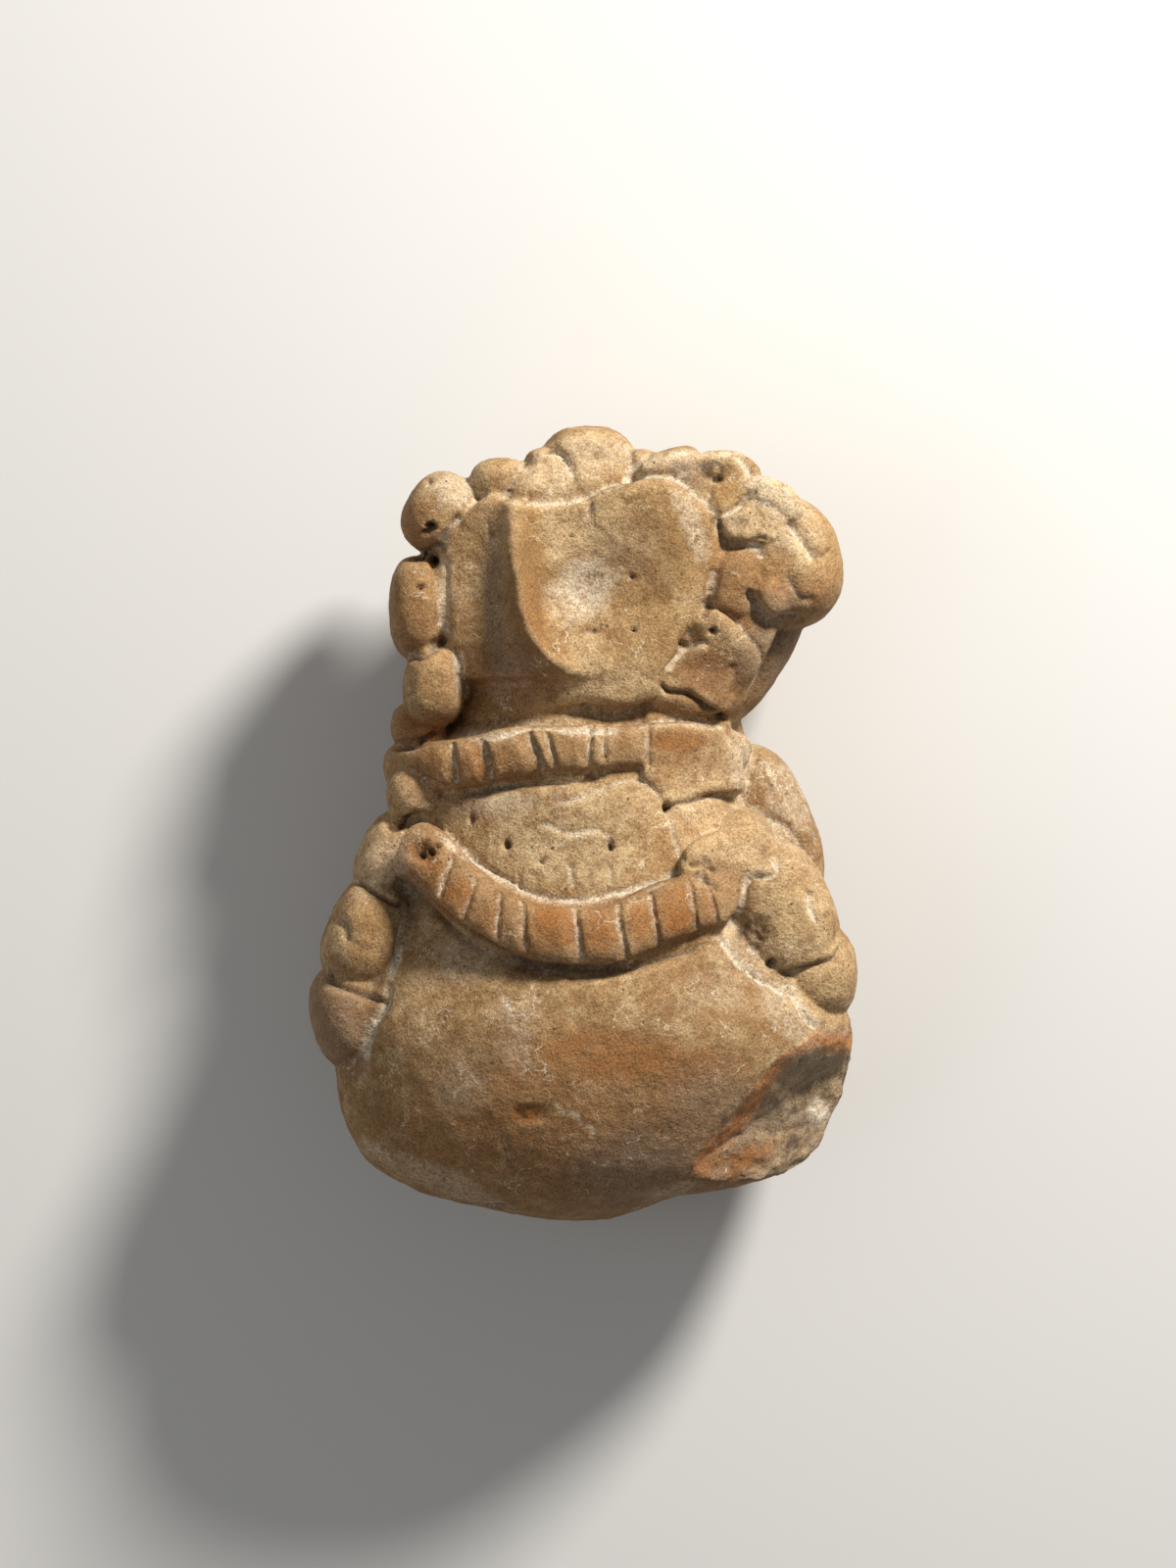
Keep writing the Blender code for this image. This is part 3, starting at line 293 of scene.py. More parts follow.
# Pits: x, y, half width, half height, depth, and how crumbled the inside is.
PITS = (
    (-15.8, 70.2, 0.5, 0.45, 1.3, 0.4), (-16.4, 69.6, 0.5, 0.3, 1.0, 0.4), (-16.8, 64.2, 0.4, 0.3, 0.8, 0),
    (-4.1, 78.0, 0.4, 0.35, 0.7, 0.2), (12.4, 75.9, 1.6, 0.9, 0.6, 0.9), (13.2, 75.2, 0.6, 0.5, 1.0, 0.6),
    (10.6, 75.3, 1.9, 0.8, 0.25, 0.8), (14.8, 70.6, 1.2, 0.8, 0.25, 0.8), (17.5, 69.1, 0.6, 0.25, 0.3, 0),
    (22.1, 69.5, 0.25, 0.25, 0.6, 0), (24.4, 67.8, 0.3, 0.25, 0.6, 0), (23.8, 67.1, 0.25, 0.2, 0.5, 0),
    (12.2, 62.3, 0.6, 0.5, 0.5, 0.3), (11.7, 61.2, 0.4, 0.5, 0.4, 0.2), (9.6, 58.3, 0.4, 0.4, 0.5, 0.1),
    (12.6, 59.6, 0.35, 0.3, 0.8, 0.2), (-1.6, 69.2, 0.3, 0.25, 0.5, 0), (4.4, 65.1, 0.35, 0.3, 0.5, 0),
    (4.7, 59.7, 0.3, 0.3, 0.7, 0), (0.4, 59.6, 0.8, 0.3, 0.45, 0.3), (8.0, 42.0, 0.5, 0.6, 1.0, 0),
    (-11.6, 40.8, 0.25, 0.5, 0.7, 0), (-8.1, 38.1, 0.45, 0.55, 0.9, 0.1), (2.3, 37.9, 0.4, 0.5, 0.8, 0.1),
    (-4.6, 36.4, 0.3, 0.3, 0.4, 0), (-16.5, 37.5, 1.3, 1.1, 0.6, 1.0), (-16.9, 37.2, 0.5, 0.5, 1.3, 0.7),
    (-15.8, 37.6, 0.5, 0.4, 1.1, 0.7), (-15.0, 38.2, 0.4, 0.3, 0.6, 0.6), (-18.6, 34.0, 0.7, 1.1, 0.4, 0.1),
    (16.4, 29.2, 1.9, 2.2, 0.5, 0.9), (18.6, 26.2, 0.6, 0.5, 0.8, 0.3), (-5.9, 11.4, 1.7, 0.9, 0.35, 0.5),
    (-9.2, 1.5, 1.3, 0.5, 0.6, 0.4), (21.6, 16.4, 0.4, 0.35, 0.6, 0.1), (22.3, 15.2, 0.25, 0.3, 0.5, 0),
    (21.0, 7.6, 1.4, 1.5, 0.5, 0.8), (19.4, 7.9, 0.3, 0.4, 0.6, 0), (19.7, 22.2, 0.5, 0.5, 0.3, 0.2),
)
PIT_SHAPE = 4
PIT_FACING = 0.1
# Pit depth at which the painted shade in a pit is darkest.
PIT_DARK = 0.8

# Face: a leaf of clay pressed on and pinched into a ridge. Outline x, y.
FACE_OUTLINE = (
    (-10.9, 73.0), (-8.8, 73.3), (-3.8, 72.9), (0.0, 73.4), (1.8, 74.3), (4.0, 74.8), (6.5, 75.1),
    (8.4, 74.9), (10.4, 73.5), (12.1, 71.9), (13.2, 70.0), (13.4, 67.6), (12.2, 63.4), (9.8, 59.0),
    (8.2, 55.4), (6.8, 52.8), (3.6, 51.8), (0.8, 52.2), (-2.4, 52.0), (-7.5, 50.4), (-12.4, 50.4),
    (-12.8, 54.6), (-14.0, 58.0), (-15.3, 61.4), (-15.2, 67.0), (-13.4, 70.2),
)
# Ridge: y, x of the edge, share of the nose's height.
RIDGE = (
    (74.0, -8.7, 0.62), (70.5, -8.5, 0.78), (66.0, -8.1, 0.94), (62.5, -7.6, 1.0), (60.6, -7.3, 1.0),
    (59.0, -6.7, 1.0), (57.8, -5.8, 0.98), (56.8, -4.8, 0.95), (56.1, -4.2, 0.82), (55.4, -3.8, 0.5),
    (54.8, -3.6, 0.2), (54.0, -3.5, 0.03), (51.8, -3.4, 0.0),
)
# The cheek, then the crest and the broad swell of the nose, the far side, and the wall down to it.
CHEEK_LEVEL = 28.2
CHEEK_MIDDLE = (5.0, 65.0)
CHEEK_CURVE = (0.02, 0.005)
CREST_SHARE = 0.55
CREST_MIDDLE = 0.9
CREST_WIDTH = 1.7
SWELL_SHARE = 0.45
SWELL_FOOT = 51.5
SWELL_RISE = 8.5
SWELL_WIDTH = 9.0
FAR_DROP = 1.2
FAR_FLAT = 2.0
FAR_SLOPE = 0.22
FAR_BLEND = 0.5
CHIN = 60.0
CHIN_SLOPE = 0.04
WALL_WIDTH = 1.5
WALL_SHAPE = 1.3
FACE_SOFTNESS = 1.0
# Dishes pressed into the cheek: x, y, half width, half height, depth.
DISHES = ((3.2, 63.8, 6.0, 5.2, 1.2), (-1.4, 63.6, 3.0, 2.6, 0.9))

# Broken corner at the lower right: three points on each of its two faces.
BREAK_UPPER = ((18.8, 16.2, 32.0), (11.5, 7.4, 32.1), (20.4, 12.4, 23.0))
BREAK_LOWER = ((16.4, 10.0, 26.6), (20.4, 12.4, 23.0), (23.6, 8.6, 18.4))
# Where it ends above, how worn its edge is, and the height that leaves the other side whole.
BREAK_TOP = 19.6
BREAK_SLOPE = 5.6
BREAK_WEAR = 0.7
CLEAR_OF_BREAK = -9.0
# Edge of the break, where the clay fired red: width, line x, y.
RIM_WIDTH = 1.7
BREAK_RIM = (
    (26.6, 18.0), (23.5, 18.3), (20.4, 18.1), (18.8, 16.1), (17.6, 14.4), (16.4, 12.1), (14.3, 9.4),
    (11.5, 7.4), (10.0, 5.2), (9.0, 3.3),
)

# How the marks lie on the skin.
PATCH_WAVE = 0.45
PATCH_WAVE_SIZE = 3.0
PATCH_REACH = 1.5
PAINT_START = 6.0
PAINT_RISE = 8.0
ROLL_MARGIN = 0.6
ROLL_FADE = 0.8
ROLL_START = 16.0
ROLL_RISE = 4.0
HOLLOW_DEPTH = 0.5
NECKLACE_RUST = 0.2
CHOKER_RUST = 0.15
NECKLACE_EARTH = 0.7
CHOKER_EARTH = 0.4
BREAK_CLEAN = 0.8

# Patches of colour: x, y, half width, half height, strength, and turn in degrees where it is turned.
RUST_PATCHES = (
    (2.8, 16.9, 9.5, 2.8, 0.75, -6.0), (-2.0, 8.0, 17.0, 7.5, 0.35), (-5.0, 14.0, 5.0, 3.0, 0.4),
    (-5.9, 11.4, 1.7, 1.1, 1.0), (-17.6, 43.2, 3.0, 3.4, 0.4), (-7.6, 54.8, 3.4, 2.6, 0.6, 30.0),
    (-11.8, 58.0, 3.0, 5.0, 0.3), (17.6, 63.0, 5.0, 3.0, 0.3, 20.0), (-10.6, 40.8, 1.4, 1.2, 0.4),
    (-17.3, 49.5, 2.4, 2.0, 0.6), (-17.5, 70.3, 2.6, 2.6, 0.6), (-17.7, 62.0, 1.8, 4.0, 0.35),
    (-21.4, 28.2, 2.4, 2.8, 0.25), (-25.0, 20.5, 2.6, 3.6, 0.3), (-5.8, 60.4, 1.4, 4.0, 0.35),
    (22.4, 63.6, 3.0, 2.0, 0.5), (14.6, 64.6, 2.4, 3.6, 0.45), (12.6, 54.8, 3.6, 2.8, 0.45, -20.0),
    (9.2, 48.6, 2.8, 1.3, 0.85), (-16.2, 35.8, 2.1, 3.0, 1.0, 30.0), (-13.0, 33.0, 2.0, 2.6, 1.0, 20.0),
    (-9.8, 30.4, 2.2, 1.6, 0.6, -30.0), (-4.0, 30.0, 2.8, 2.6, 1.0), (1.0, 29.4, 2.0, 2.4, 1.0),
    (5.2, 30.6, 1.2, 2.0, 0.8), (8.6, 31.6, 2.1, 2.2, 1.0), (-16.0, 46.2, 1.8, 1.8, 0.9),
    (-11.8, 46.0, 1.6, 2.0, 0.8), (-8.0, 46.8, 2.1, 2.4, 0.7), (-1.5, 48.0, 1.8, 1.6, 0.35),
    (12.2, 32.0, 1.0, 1.6, 0.8), (13.8, 5.6, 4.8, 1.8, 0.85, 20.0),
)
EARTH_AND_SHADE_PATCHES = (
    (0, 9.0, 30.0, 13.5, 0.7), (-25.0, 20.0, 4.2, 5.2, 0.95), (-14.0, 26.0, 6.0, 5.0, 0.4),
    (-16.6, 50.0, 3.6, 2.6, 0.8), (-17.4, 70.0, 3.0, 3.0, 0.7), (-17.8, 61.6, 2.6, 5.2, 0.8),
    # The row at 12.4, 54.6 is the lower braid end's brown, deepened as painted shade where it faces away from
    # the light.
    (12.4, 54.6, 4.6, 3.6, 1.0, -20.0), (-6.0, 62.0, 1.9, 9.0, 0.75, 3.0), (14.6, 63.6, 3.4, 4.6, 0.7),
    (18.6, 58.4, 3.6, 6.0, 0.8, -30.0), (22.0, 62.8, 4.0, 2.0, 0.6), (6.6, 67.6, 4.4, 4.4, 0.65),
    # The rows at -5.6, 57.4 and -4.6, 54.6 are painted shade on the underside of the nose's tip.
    (-5.6, 57.4, 3.0, 4.0, 0.4, 30.0), (-4.6, 54.6, 2.6, 1.5, 0.9, 40.0), (-8.4, 47.0, 3.0, 2.6, 0.5),
    (-9.0, 42.3, 4.0, 1.5, 0.4), (9.0, 48.0, 2.6, 1.6, 0.4), (-9.0, 54.0, 6.0, 4.0, 0.5),
    # The row at 14.0, 22.0 darkens the right of the body, which faces the light: painted shade.
    (20.6, 43.0, 4.0, 8.0, 0.55), (14.0, 22.0, 7.0, 6.0, 0.6),
)
GOLD_PATCHES = (
    (-6.0, 64.5, 1.9, 9.0, 1.0, 3.0), (-4.0, 58.0, 1.6, 3.4, 0.7, 40.0), (1.5, 71.4, 6.0, 2.2, 0.35, 10.0),
    (10.0, 68.0, 2.8, 5.0, 0.6), (24.4, 68.6, 2.0, 5.0, 0.6, 10.0), (17.5, 66.8, 3.4, 3.0, 0.5),
    (14.8, 74.6, 2.0, 2.2, 0.9), (6.0, 61.0, 4.0, 6.0, 0.45), (9.0, 50.0, 4.0, 2.4, 0.3),
    (-17.0, 62.0, 2.6, 5.0, 0.4), (11.6, 57.2, 3.4, 1.4, 0.5), (-15.8, 55.0, 2.4, 3.4, 0.5),
    (8.4, 38.0, 4.0, 3.0, 0.4), (18.6, 32.8, 4.0, 4.6, 0.5), (23.6, 24.6, 3.0, 3.6, 0.5),
    (-21.6, 31.0, 2.4, 2.4, 0.4),
)
GREY_AND_SHADE_PATCHES = (
    # The row at -7.0, 56.8 is painted shade on the nose's side wall near its tip.
    (-7.0, 56.8, 1.6, 3.0, 0.4, 40.0), (5.0, 6.0, 6.5, 3.6, 0.6), (11.0, 12.0, 5.0, 4.6, 0.4, 30.0),
    # The row at -9.4, 63.0 is painted shade on the steep side wall of the nose.
    (18.6, 58.4, 3.0, 5.0, 0.5, -30.0), (16.2, 28.6, 1.8, 1.8, 0.35), (-9.4, 63.0, 1.2, 9.5, 0.55, 3.0),
    # The row at 12.5, 55.3 is painted shade on the lower braid end.
    (-17.6, 33.6, 1.4, 1.6, 0.5), (12.5, 55.3, 2.8, 2.4, 0.2), (-25.0, 20.3, 3.6, 4.6, 0.5),
    (3.0, 66.4, 3.0, 1.6, 0.15), (10.2, 75.4, 1.8, 1.2, 0.6, -20.0), (14.9, 70.8, 1.8, 1.2, 0.5, -20.0),
)
PALE_AND_LIGHT_PATCHES = (
    (-0.6, 63.8, 3.6, 3.0, 0.75), (15.6, 46.8, 1.6, 4.4, 0.5), (-20.6, 35.8, 2.4, 3.4, 0.4, -20.0),
    (-4.0, 75.6, 3.6, 2.4, 0.35), (-13.4, 74.0, 2.4, 2.2, 0.55), (0.6, 77.6, 4.0, 2.2, 0.35),
    (8.0, 76.6, 5.4, 1.4, 0.3), (18.6, 73.8, 3.8, 1.3, 0.6, -30.0), (-8.0, 42.4, 6.0, 1.3, 0.35, 6.0),
    (-15.0, 4.6, 8.0, 1.8, 0.4, -24.0), (20.4, 43.0, 3.0, 5.4, 0.4), (23.5, 11.0, 1.2, 1.4, 1.0),
    (-12.6, 26.0, 3.4, 2.4, 0.35), (-7.0, 20.0, 2.4, 4.0, 0.3), (-13.0, 14.0, 3.0, 3.0, 0.3),
    (8.6, 3.4, 3.0, 0.9, 0.4, 15.0), (19.8, 21.0, 5.0, 1.4, 0.45, -50.0), (-7.6, 54.6, 3.0, 3.0, 0.25),
    # The row at 1.0, 69.8 is painted light: it lightens the face's upper plane, which the dish leaves in
    # shade.
    (1.0, 69.8, 4.6, 2.2, 0.2), (11.6, 41.4, 3.6, 3.6, 0.15), (13.0, 24.0, 6.0, 3.0, 0.25, 20.0),
    (10.4, 70.2, 1.2, 4.0, 0.5, 20.0), (-12.6, 62.0, 2.4, 9.0, 0.15), (21.0, 70.0, 3.0, 3.4, 0.3),
)
CREAM_AND_LIGHT_PATCHES = (
    (18.6, 32.6, 5.2, 6.2, 1.0, 20.0), (23.8, 24.2, 3.0, 4.0, 0.8), (12.0, 40.8, 4.0, 3.2, 0.35),
    (13.0, 46.8, 3.0, 2.4, 0.6), (14.0, 36.4, 4.0, 2.8, 0.5), (-3.0, 75.3, 3.4, 2.2, 0.2),
    # The row at -17.2, 43.4 is painted light on a lock that the choker's end shades.
    (0.4, 77.6, 4.4, 2.2, 0.25), (-17.2, 43.4, 2.4, 2.6, 0.6), (7.6, 76.4, 3.6, 1.2, 0.6, 10.0),
    # The row at 1.0, 69.8 is painted light on the face's upper plane.
    (1.0, 69.8, 6.0, 3.2, 0.6), (0.6, 55.2, 5.0, 2.6, 0.6), (-4.0, 37.8, 8.0, 4.6, 0.45),
    (2.6, 42.0, 4.0, 2.0, 0.4), (18.4, 71.4, 4.4, 3.2, 0.6), (22.6, 69.0, 2.6, 4.4, 0.4),
)

# Colours, as the share of light given back.
TAN = (0.36, 0.22, 0.1, 1.0)
TAN_BROWN = (0.25, 0.141, 0.055, 1.0)
TAN_PALE = (0.48, 0.345, 0.185, 1.0)
# EARTH is dark brown clay, and painted shade in some of its patches.
EARTH = (0.19, 0.1, 0.04, 1.0)
GOLDEN = (0.3, 0.165, 0.052, 1.0)
RUST = (0.26, 0.09, 0.016, 1.0)
SMOKE_AND_SHADE = (0.2, 0.15, 0.11, 1.0)
CREAM_AND_LIGHT = (0.58, 0.425, 0.24, 1.0)
EMBER = (0.37, 0.15, 0.05, 1.0)
BROKEN_GREY = (0.27, 0.215, 0.155, 1.0)
BROKEN_TAN = (0.34, 0.245, 0.145, 1.0)
# POWDER is the pale deposit, also laid as the painted highlight on the cut slopes and as painted light in
# some pale patches.
POWDER = (0.64, 0.55, 0.41, 1.0)
# DEEP is laid as painted shade in hollows, pits and seam cracks, and as the dark flecks.
DEEP = (0.09, 0.05, 0.025, 1.0)
SAND_DARK = (0.6, 0.56, 0.52, 1.0)
SAND_LIGHT = (1.35, 1.38, 1.42, 1.0)
FLOOR_GREY = (0.62, 0.61, 0.59, 1.0)

# Sizes of the grain in metres.
MOTTLE = 0.011
CLOUD = 0.0032
SPECK = 0.0011
GRIT = 0.0007
SAND = 0.00022
STRAND = 0.0045
STRAND_AREA = 0.0052
DIMPLE = 0.0018
DIMPLE_DEPTH = 0.0002
SAND_DEPTH = 0.00006


# Random waves: a turn that hides their grid, a step between seeds, and large odd numbers that scatter them.
GRID_TURN = np.array(((0.8, -0.48, 0.36), (0.6, 0.64, -0.48), (0.0, 0.6, 0.8)))
SEED_STEP = 31.7
CELL_SCATTER = np.array((73856093, 19349663, 83492791))
SEED_SCATTER = 7919
LAST_SCATTER = 1274126177


def smoothstep(value):
    """Ease a share from 0 to 1."""
    share = np.clip(value, 0.0, 1.0)
    return share * share * (3.0 - 2.0 * share)


def random_waves(places, size, seed):
    """Smooth random values from -1 to 1 that change over the given size."""
    grid = places @ GRID_TURN / size + SEED_STEP * seed
    cell = np.floor(grid).astype(np.int64)
    part = grid - cell
    ease = part**3 * (part * (part * 6.0 - 15.0) + 10.0)
    total = np.zeros(len(places))
    for corner in itertools.product((0, 1), repeat=3):
        mixed = np.bitwise_xor.reduce((cell + corner) * CELL_SCATTER, axis=1) ^ (seed * SEED_SCATTER)
        mixed = ((mixed ^ (mixed >> 13)) * LAST_SCATTER) & 0xFFFFFFFF
        value = ((mixed >> 9) & 0xFFFF) / 32767.5 - 1.0
        share = np.prod(np.where(np.array(corner) == 1, ease, 1.0 - ease), axis=1)
        total += value * share
    return total


def rough(places, size, seed, octaves=3):
    """Random waves with finer ones on them."""
    layers = [random_waves(places, size / 2.0**k, seed + k) / 2.0**k for k in range(octaves)]
    return sum(layers) / 1.5


def waves(places, kind):
    """Rough waves of a kind: height, size, seed."""
    height, size, seed = kind
    return height * rough(places, size, seed)


def strayed(places, kind):
    """Places in the picture plane, moved a little to and fro."""
    reach, size, seeds = kind
    return places[:, :2] + reach * np.stack([rough(places, size, seed) for seed in seeds], axis=1)


def closed_curve(keys, count):
    """Points of a smooth closed curve through the rows of keys."""
    keys = list(keys)
    around = through(keys[-2:] + keys + keys[:3], count * (len(keys) + 4) + 1)
    return around[2 * count:(len(keys) + 2) * count]


def through(keys, count):
    """Points of a smooth curve through the rows of keys."""
    keys = np.array(keys, float)
    place = np.linspace(0.0, len(keys) - 1.0, count)
    at = np.clip(place.astype(int), 0, len(keys) - 2)
    f = (place - at)[:, None]
    before = keys[np.maximum(at - 1, 0)]
    start = keys[at]
    end = keys[at + 1]
    after = keys[np.minimum(at + 2, len(keys) - 1)]
    bend = 2.0 * before - 5.0 * start + 4.0 * end - after
    twist = 3.0 * start - before - 3.0 * end + after
    return 0.5 * (2.0 * start + (end - before) * f + bend * f**2 + twist * f**3)


def outline_distance(points, outline):
    """Distance of each point to a closed outline in the picture plane, positive inside."""
    corner = np.array(outline, float)
    following = np.roll(corner, -1, axis=0)
    inside = np.zeros(len(points), bool)
    nearest = np.full(len(points), np.inf)
    for a, b in zip(corner, following):
        side = b - a
        share = np.clip((points - a) @ side / (side @ side), 0.0, 1.0)
        gap = np.linalg.norm(points - a - share[:, None] * side, axis=1)
        nearest = np.minimum(nearest, gap)
        crosses = (a[1] > points[:, 1]) != (b[1] > points[:, 1])
        where = a[0] + (points[:, 1] - a[1]) * side[0] / (side[1] if side[1] else 1.0)
        inside ^= crosses & (points[:, 0] < where)
    return np.where(inside, nearest, -nearest)


def line_place(points, line):
    """Distance to an open line, positive on its left, and the share of the way along it."""
    corner = np.array(line, float)
    lengths = np.linalg.norm(np.diff(corner, axis=0), axis=1)
    starts = np.cumsum(lengths) - lengths
    nearest = np.full(len(points), np.inf)
    left = np.ones(len(points))
    along = np.zeros(len(points))
    for a, b, start, length in zip(corner, corner[1:], starts, lengths):
        side = b - a
        share = np.clip((points - a) @ side / (side @ side), 0.0, 1.0)
        offset = points - a - share[:, None] * side
        gap = np.linalg.norm(offset, axis=1)
        closer = gap < nearest
        nearest = np.where(closer, gap, nearest)
        left = np.where(closer, np.sign(side[0] * offset[:, 1] - side[1] * offset[:, 0]), left)
        along = np.where(closer, (start + share * length) / lengths.sum(), along)
    return nearest * left, along


def add_core(clay):
    """The solid lump of body, neck and head, lofted through its sections."""
    angles = np.linspace(0.0, 2.0 * math.pi, RING_SIDES, endpoint=False)
    rings = []
    for y, middle, half, back, front, squareness in through(BODY, RINGS):
        depth = (front * BELLY_FRONT - back) / 2.0
        power = 2.0 / squareness
        across = half * np.sign(np.cos(angles)) * np.abs(np.cos(angles)) ** power
        out = depth * np.sign(np.sin(angles)) * np.abs(np.sin(angles)) ** power
        rings.append([clay.verts.new((middle + a, y, back + depth + o)) for a, o in zip(across, out)])
    for lower, upper in zip(rings, rings[1:]):
        for k in range(RING_SIDES):
            n = (k + 1) % RING_SIDES
            clay.faces.new((lower[k], upper[k], upper[n], lower[n]))
    clay.faces.new(rings[0])
    clay.faces.new(rings[-1][::-1])


def add_pellets(clay):
    """Balls of clay, pressed a little square and turned in the picture plane."""
    for x, y, z, wide, tall, deep, turn in PELLETS:
        ball = bmesh.ops.create_icosphere(clay, subdivisions=5, radius=1.0)["verts"]
        place = Matrix.Translation((x, y, z)) @ Matrix.Rotation(math.radians(turn), 4, "Z")
        place = place @ Matrix.Diagonal((wide, tall, deep, 1.0))
        for vert in ball:
            across = (abs(vert.co.x) ** PELLET_SQUARENESS + abs(vert.co.y) ** PELLET_SQUARENESS) ** (
                PELLET_FLATNESS / PELLET_SQUARENESS
            )
            girth = (across + abs(vert.co.z) ** PELLET_FLATNESS) ** (1.0 / PELLET_FLATNESS)
            vert.co = place @ (vert.co / girth)


def face_height(x, y):
    """How far the pressed leaf of the face stands out at a point."""
    rows = through(RIDGE[::-1], ROLL_STEPS * len(RIDGE))
    edge = np.interp(y, rows[:, 0], rows[:, 1])
    edge = edge + waves(np.stack((0.0 * y, y, 0.0 * y), axis=1), RIDGE_WAVES)
    share = np.interp(y, rows[:, 0], rows[:, 2])
    nose = NOSE_HEIGHT * share
    swell = NOSE_HEIGHT * np.minimum(share, smoothstep((y - SWELL_FOOT) / SWELL_RISE))
    right = x - edge
    left = -right
    across, up = x - CHEEK_MIDDLE[0], y - CHEEK_MIDDLE[1]
    cheek = CHEEK_LEVEL - CHEEK_CURVE[0] * across**2 - CHEEK_CURVE[1] * up**2
    dish = sum(d * np.exp(-(((x - a) / w) ** 2) - ((y - b) / h) ** 2) for a, b, w, h, d in DISHES)
    crest = CREST_SHARE * nose * np.exp(-((right - CREST_MIDDLE) / CREST_WIDTH) ** 2)
    crest = crest + SWELL_SHARE * swell * (1.0 - smoothstep(right / SWELL_WIDTH))
    far = CHEEK_LEVEL - FAR_DROP - FAR_SLOPE * np.clip(left - FAR_FLAT, 0.0, None)
    far = far - CHIN_SLOPE * np.clip(CHIN - y, 0.0, None)
    far = cheek + (far - cheek) * smoothstep(share / FAR_BLEND)
    top = cheek + CREST_SHARE * nose * math.exp(-(CREST_MIDDLE / CREST_WIDTH) ** 2) + SWELL_SHARE * swell
    wall = far + (top - far) * np.exp(-(np.clip(left / WALL_WIDTH, 0.0, None) ** WALL_SHAPE))
    return np.where(right > 0.0, cheek + crest - dish, wall)


def add_leaf(clay, outline, height, softness):
    """A sheet of clay with its own heights inside an outline, and a thick root under it."""
    xs = [p[0] for p in outline]
    ys = [p[1] for p in outline]
    wide = max(xs) - min(xs) + 1.0
    tall = max(ys) - min(ys) + 1.0
    middle = Vector(((max(xs) + min(xs)) / 2.0, (max(ys) + min(ys)) / 2.0, 0.0))
    place = Matrix.Translation(middle) @ Matrix.Diagonal((wide / 2.0, tall / 2.0, 1.0, 1.0))
    count = int(max(wide, tall) / GRAIN) + 1
    sheet = bmesh.ops.create_grid(clay, x_segments=count, y_segments=count, size=1.0, matrix=place)["verts"]
    flat = np.array([vert.co[:2] for vert in sheet])
    edge = closed_curve(outline, CURVE_STEPS)
    outside = outline_distance(flat, edge) < 0.0
    bmesh.ops.delete(clay, geom=[vert for vert, out in zip(sheet, outside) if out], context="VERTS")
    sheet = [vert for vert, out in zip(sheet, outside) if not out]
    front = {face for vert in sheet for face in vert.link_faces}
    sheet = list({vert for face in front for vert in face.verts})
    root = bmesh.ops.extrude_face_region(clay, geom=list(front))["geom"]
    for item in root:
        if isinstance(item, bmesh.types.BMVert):
            item.co.z = LEAF_ROOT
    flat = np.array([vert.co[:2] for vert in sheet])
    inside = outline_distance(flat, edge)
    rise = height(flat[:, 0], flat[:, 1]) - softness * (1.0 - np.sqrt(np.clip(inside / softness, 0.0, 1.0)))
    for vert, z in zip(sheet, rise):
        vert.co.z = z


def add_laid_leaf(clay, outline, height, fall_right, fall_up, softness):
    """A leaf laid on nearly flat."""
    x_middle, y_middle = np.array(outline).mean(axis=0)
    add_leaf(
        clay, outline,
        lambda x, y: height - fall_right * (x - x_middle) - fall_up * (y - y_middle),
        softness,
    )


def new_object(name, data):
    """A new object of the scene that holds the data."""
    holder = bpy.data.objects.new(name, data)
    bpy.context.scene.collection.objects.link(holder)
    return holder


def evaluated_mesh(holder):
    """A plain mesh of an object with its modifiers."""
    bpy.context.view_layer.update()
    graph = bpy.context.evaluated_depsgraph_get()
    return bpy.data.meshes.new_from_object(holder.evaluated_get(graph))


def roll_profile(thick):
    """The section of a roll, pressed a little square."""
    curve = bpy.data.curves.new("roll section", "CURVE")
    spline = curve.splines.new("POLY")
    spline.use_cyclic_u = True
    spline.points.add(PROFILE_SIDES - 1)
    for k, point in enumerate(spline.points):
        angle = 2.0 * math.pi * k / PROFILE_SIDES
        x, y = math.cos(angle), math.sin(angle)
        girth = (abs(x) ** ROLL_SQUARENESS + abs(y) ** ROLL_SQUARENESS) ** (1.0 / ROLL_SQUARENESS)
        point.co = (thick * x / girth, thick * y / girth, 0.0, 1.0)
    return new_object("roll section", curve)


def add_roll(clay, points, thick):
    """A roll of clay along a smooth curve, with blunt ends."""
    curve = bpy.data.curves.new("roll", "CURVE")
    curve.dimensions = "3D"
    curve.bevel_mode = "OBJECT"
    curve.bevel_object = roll_profile(thick)
    curve.twist_mode = "Z_UP"
    curve.use_fill_caps = True
    path = through(points, ROLL_STEPS * len(points))
    spline = curve.splines.new("POLY")
    spline.points.add(len(path) - 1)
    for point, (x, y, z, share) in zip(spline.points, path):
        point.co = (x, y, z, 1.0)
        point.radius = share
    holder = new_object("roll", curve)
    clay.from_mesh(evaluated_mesh(holder))
    bpy.data.objects.remove(curve.bevel_object)
    bpy.data.objects.remove(holder)


def with_modifier(mesh, kind, **settings):
    """The mesh after one modifier."""
    holder = new_object("working", mesh)
    modifier = holder.modifiers.new("working", kind)
    for name, value in settings.items():
        setattr(modifier, name, value)
    result = evaluated_mesh(holder)
    bpy.data.objects.remove(holder)
    return result


def fused(clay):
    """The overlapping lumps as one closed skin."""
    mesh = bpy.data.meshes.new("lumps")
    clay.to_mesh(mesh)
    clay.free()
    mesh = with_modifier(mesh, "REMESH", mode="VOXEL", voxel_size=GRAIN)
    return with_modifier(mesh, "SMOOTH", iterations=2)


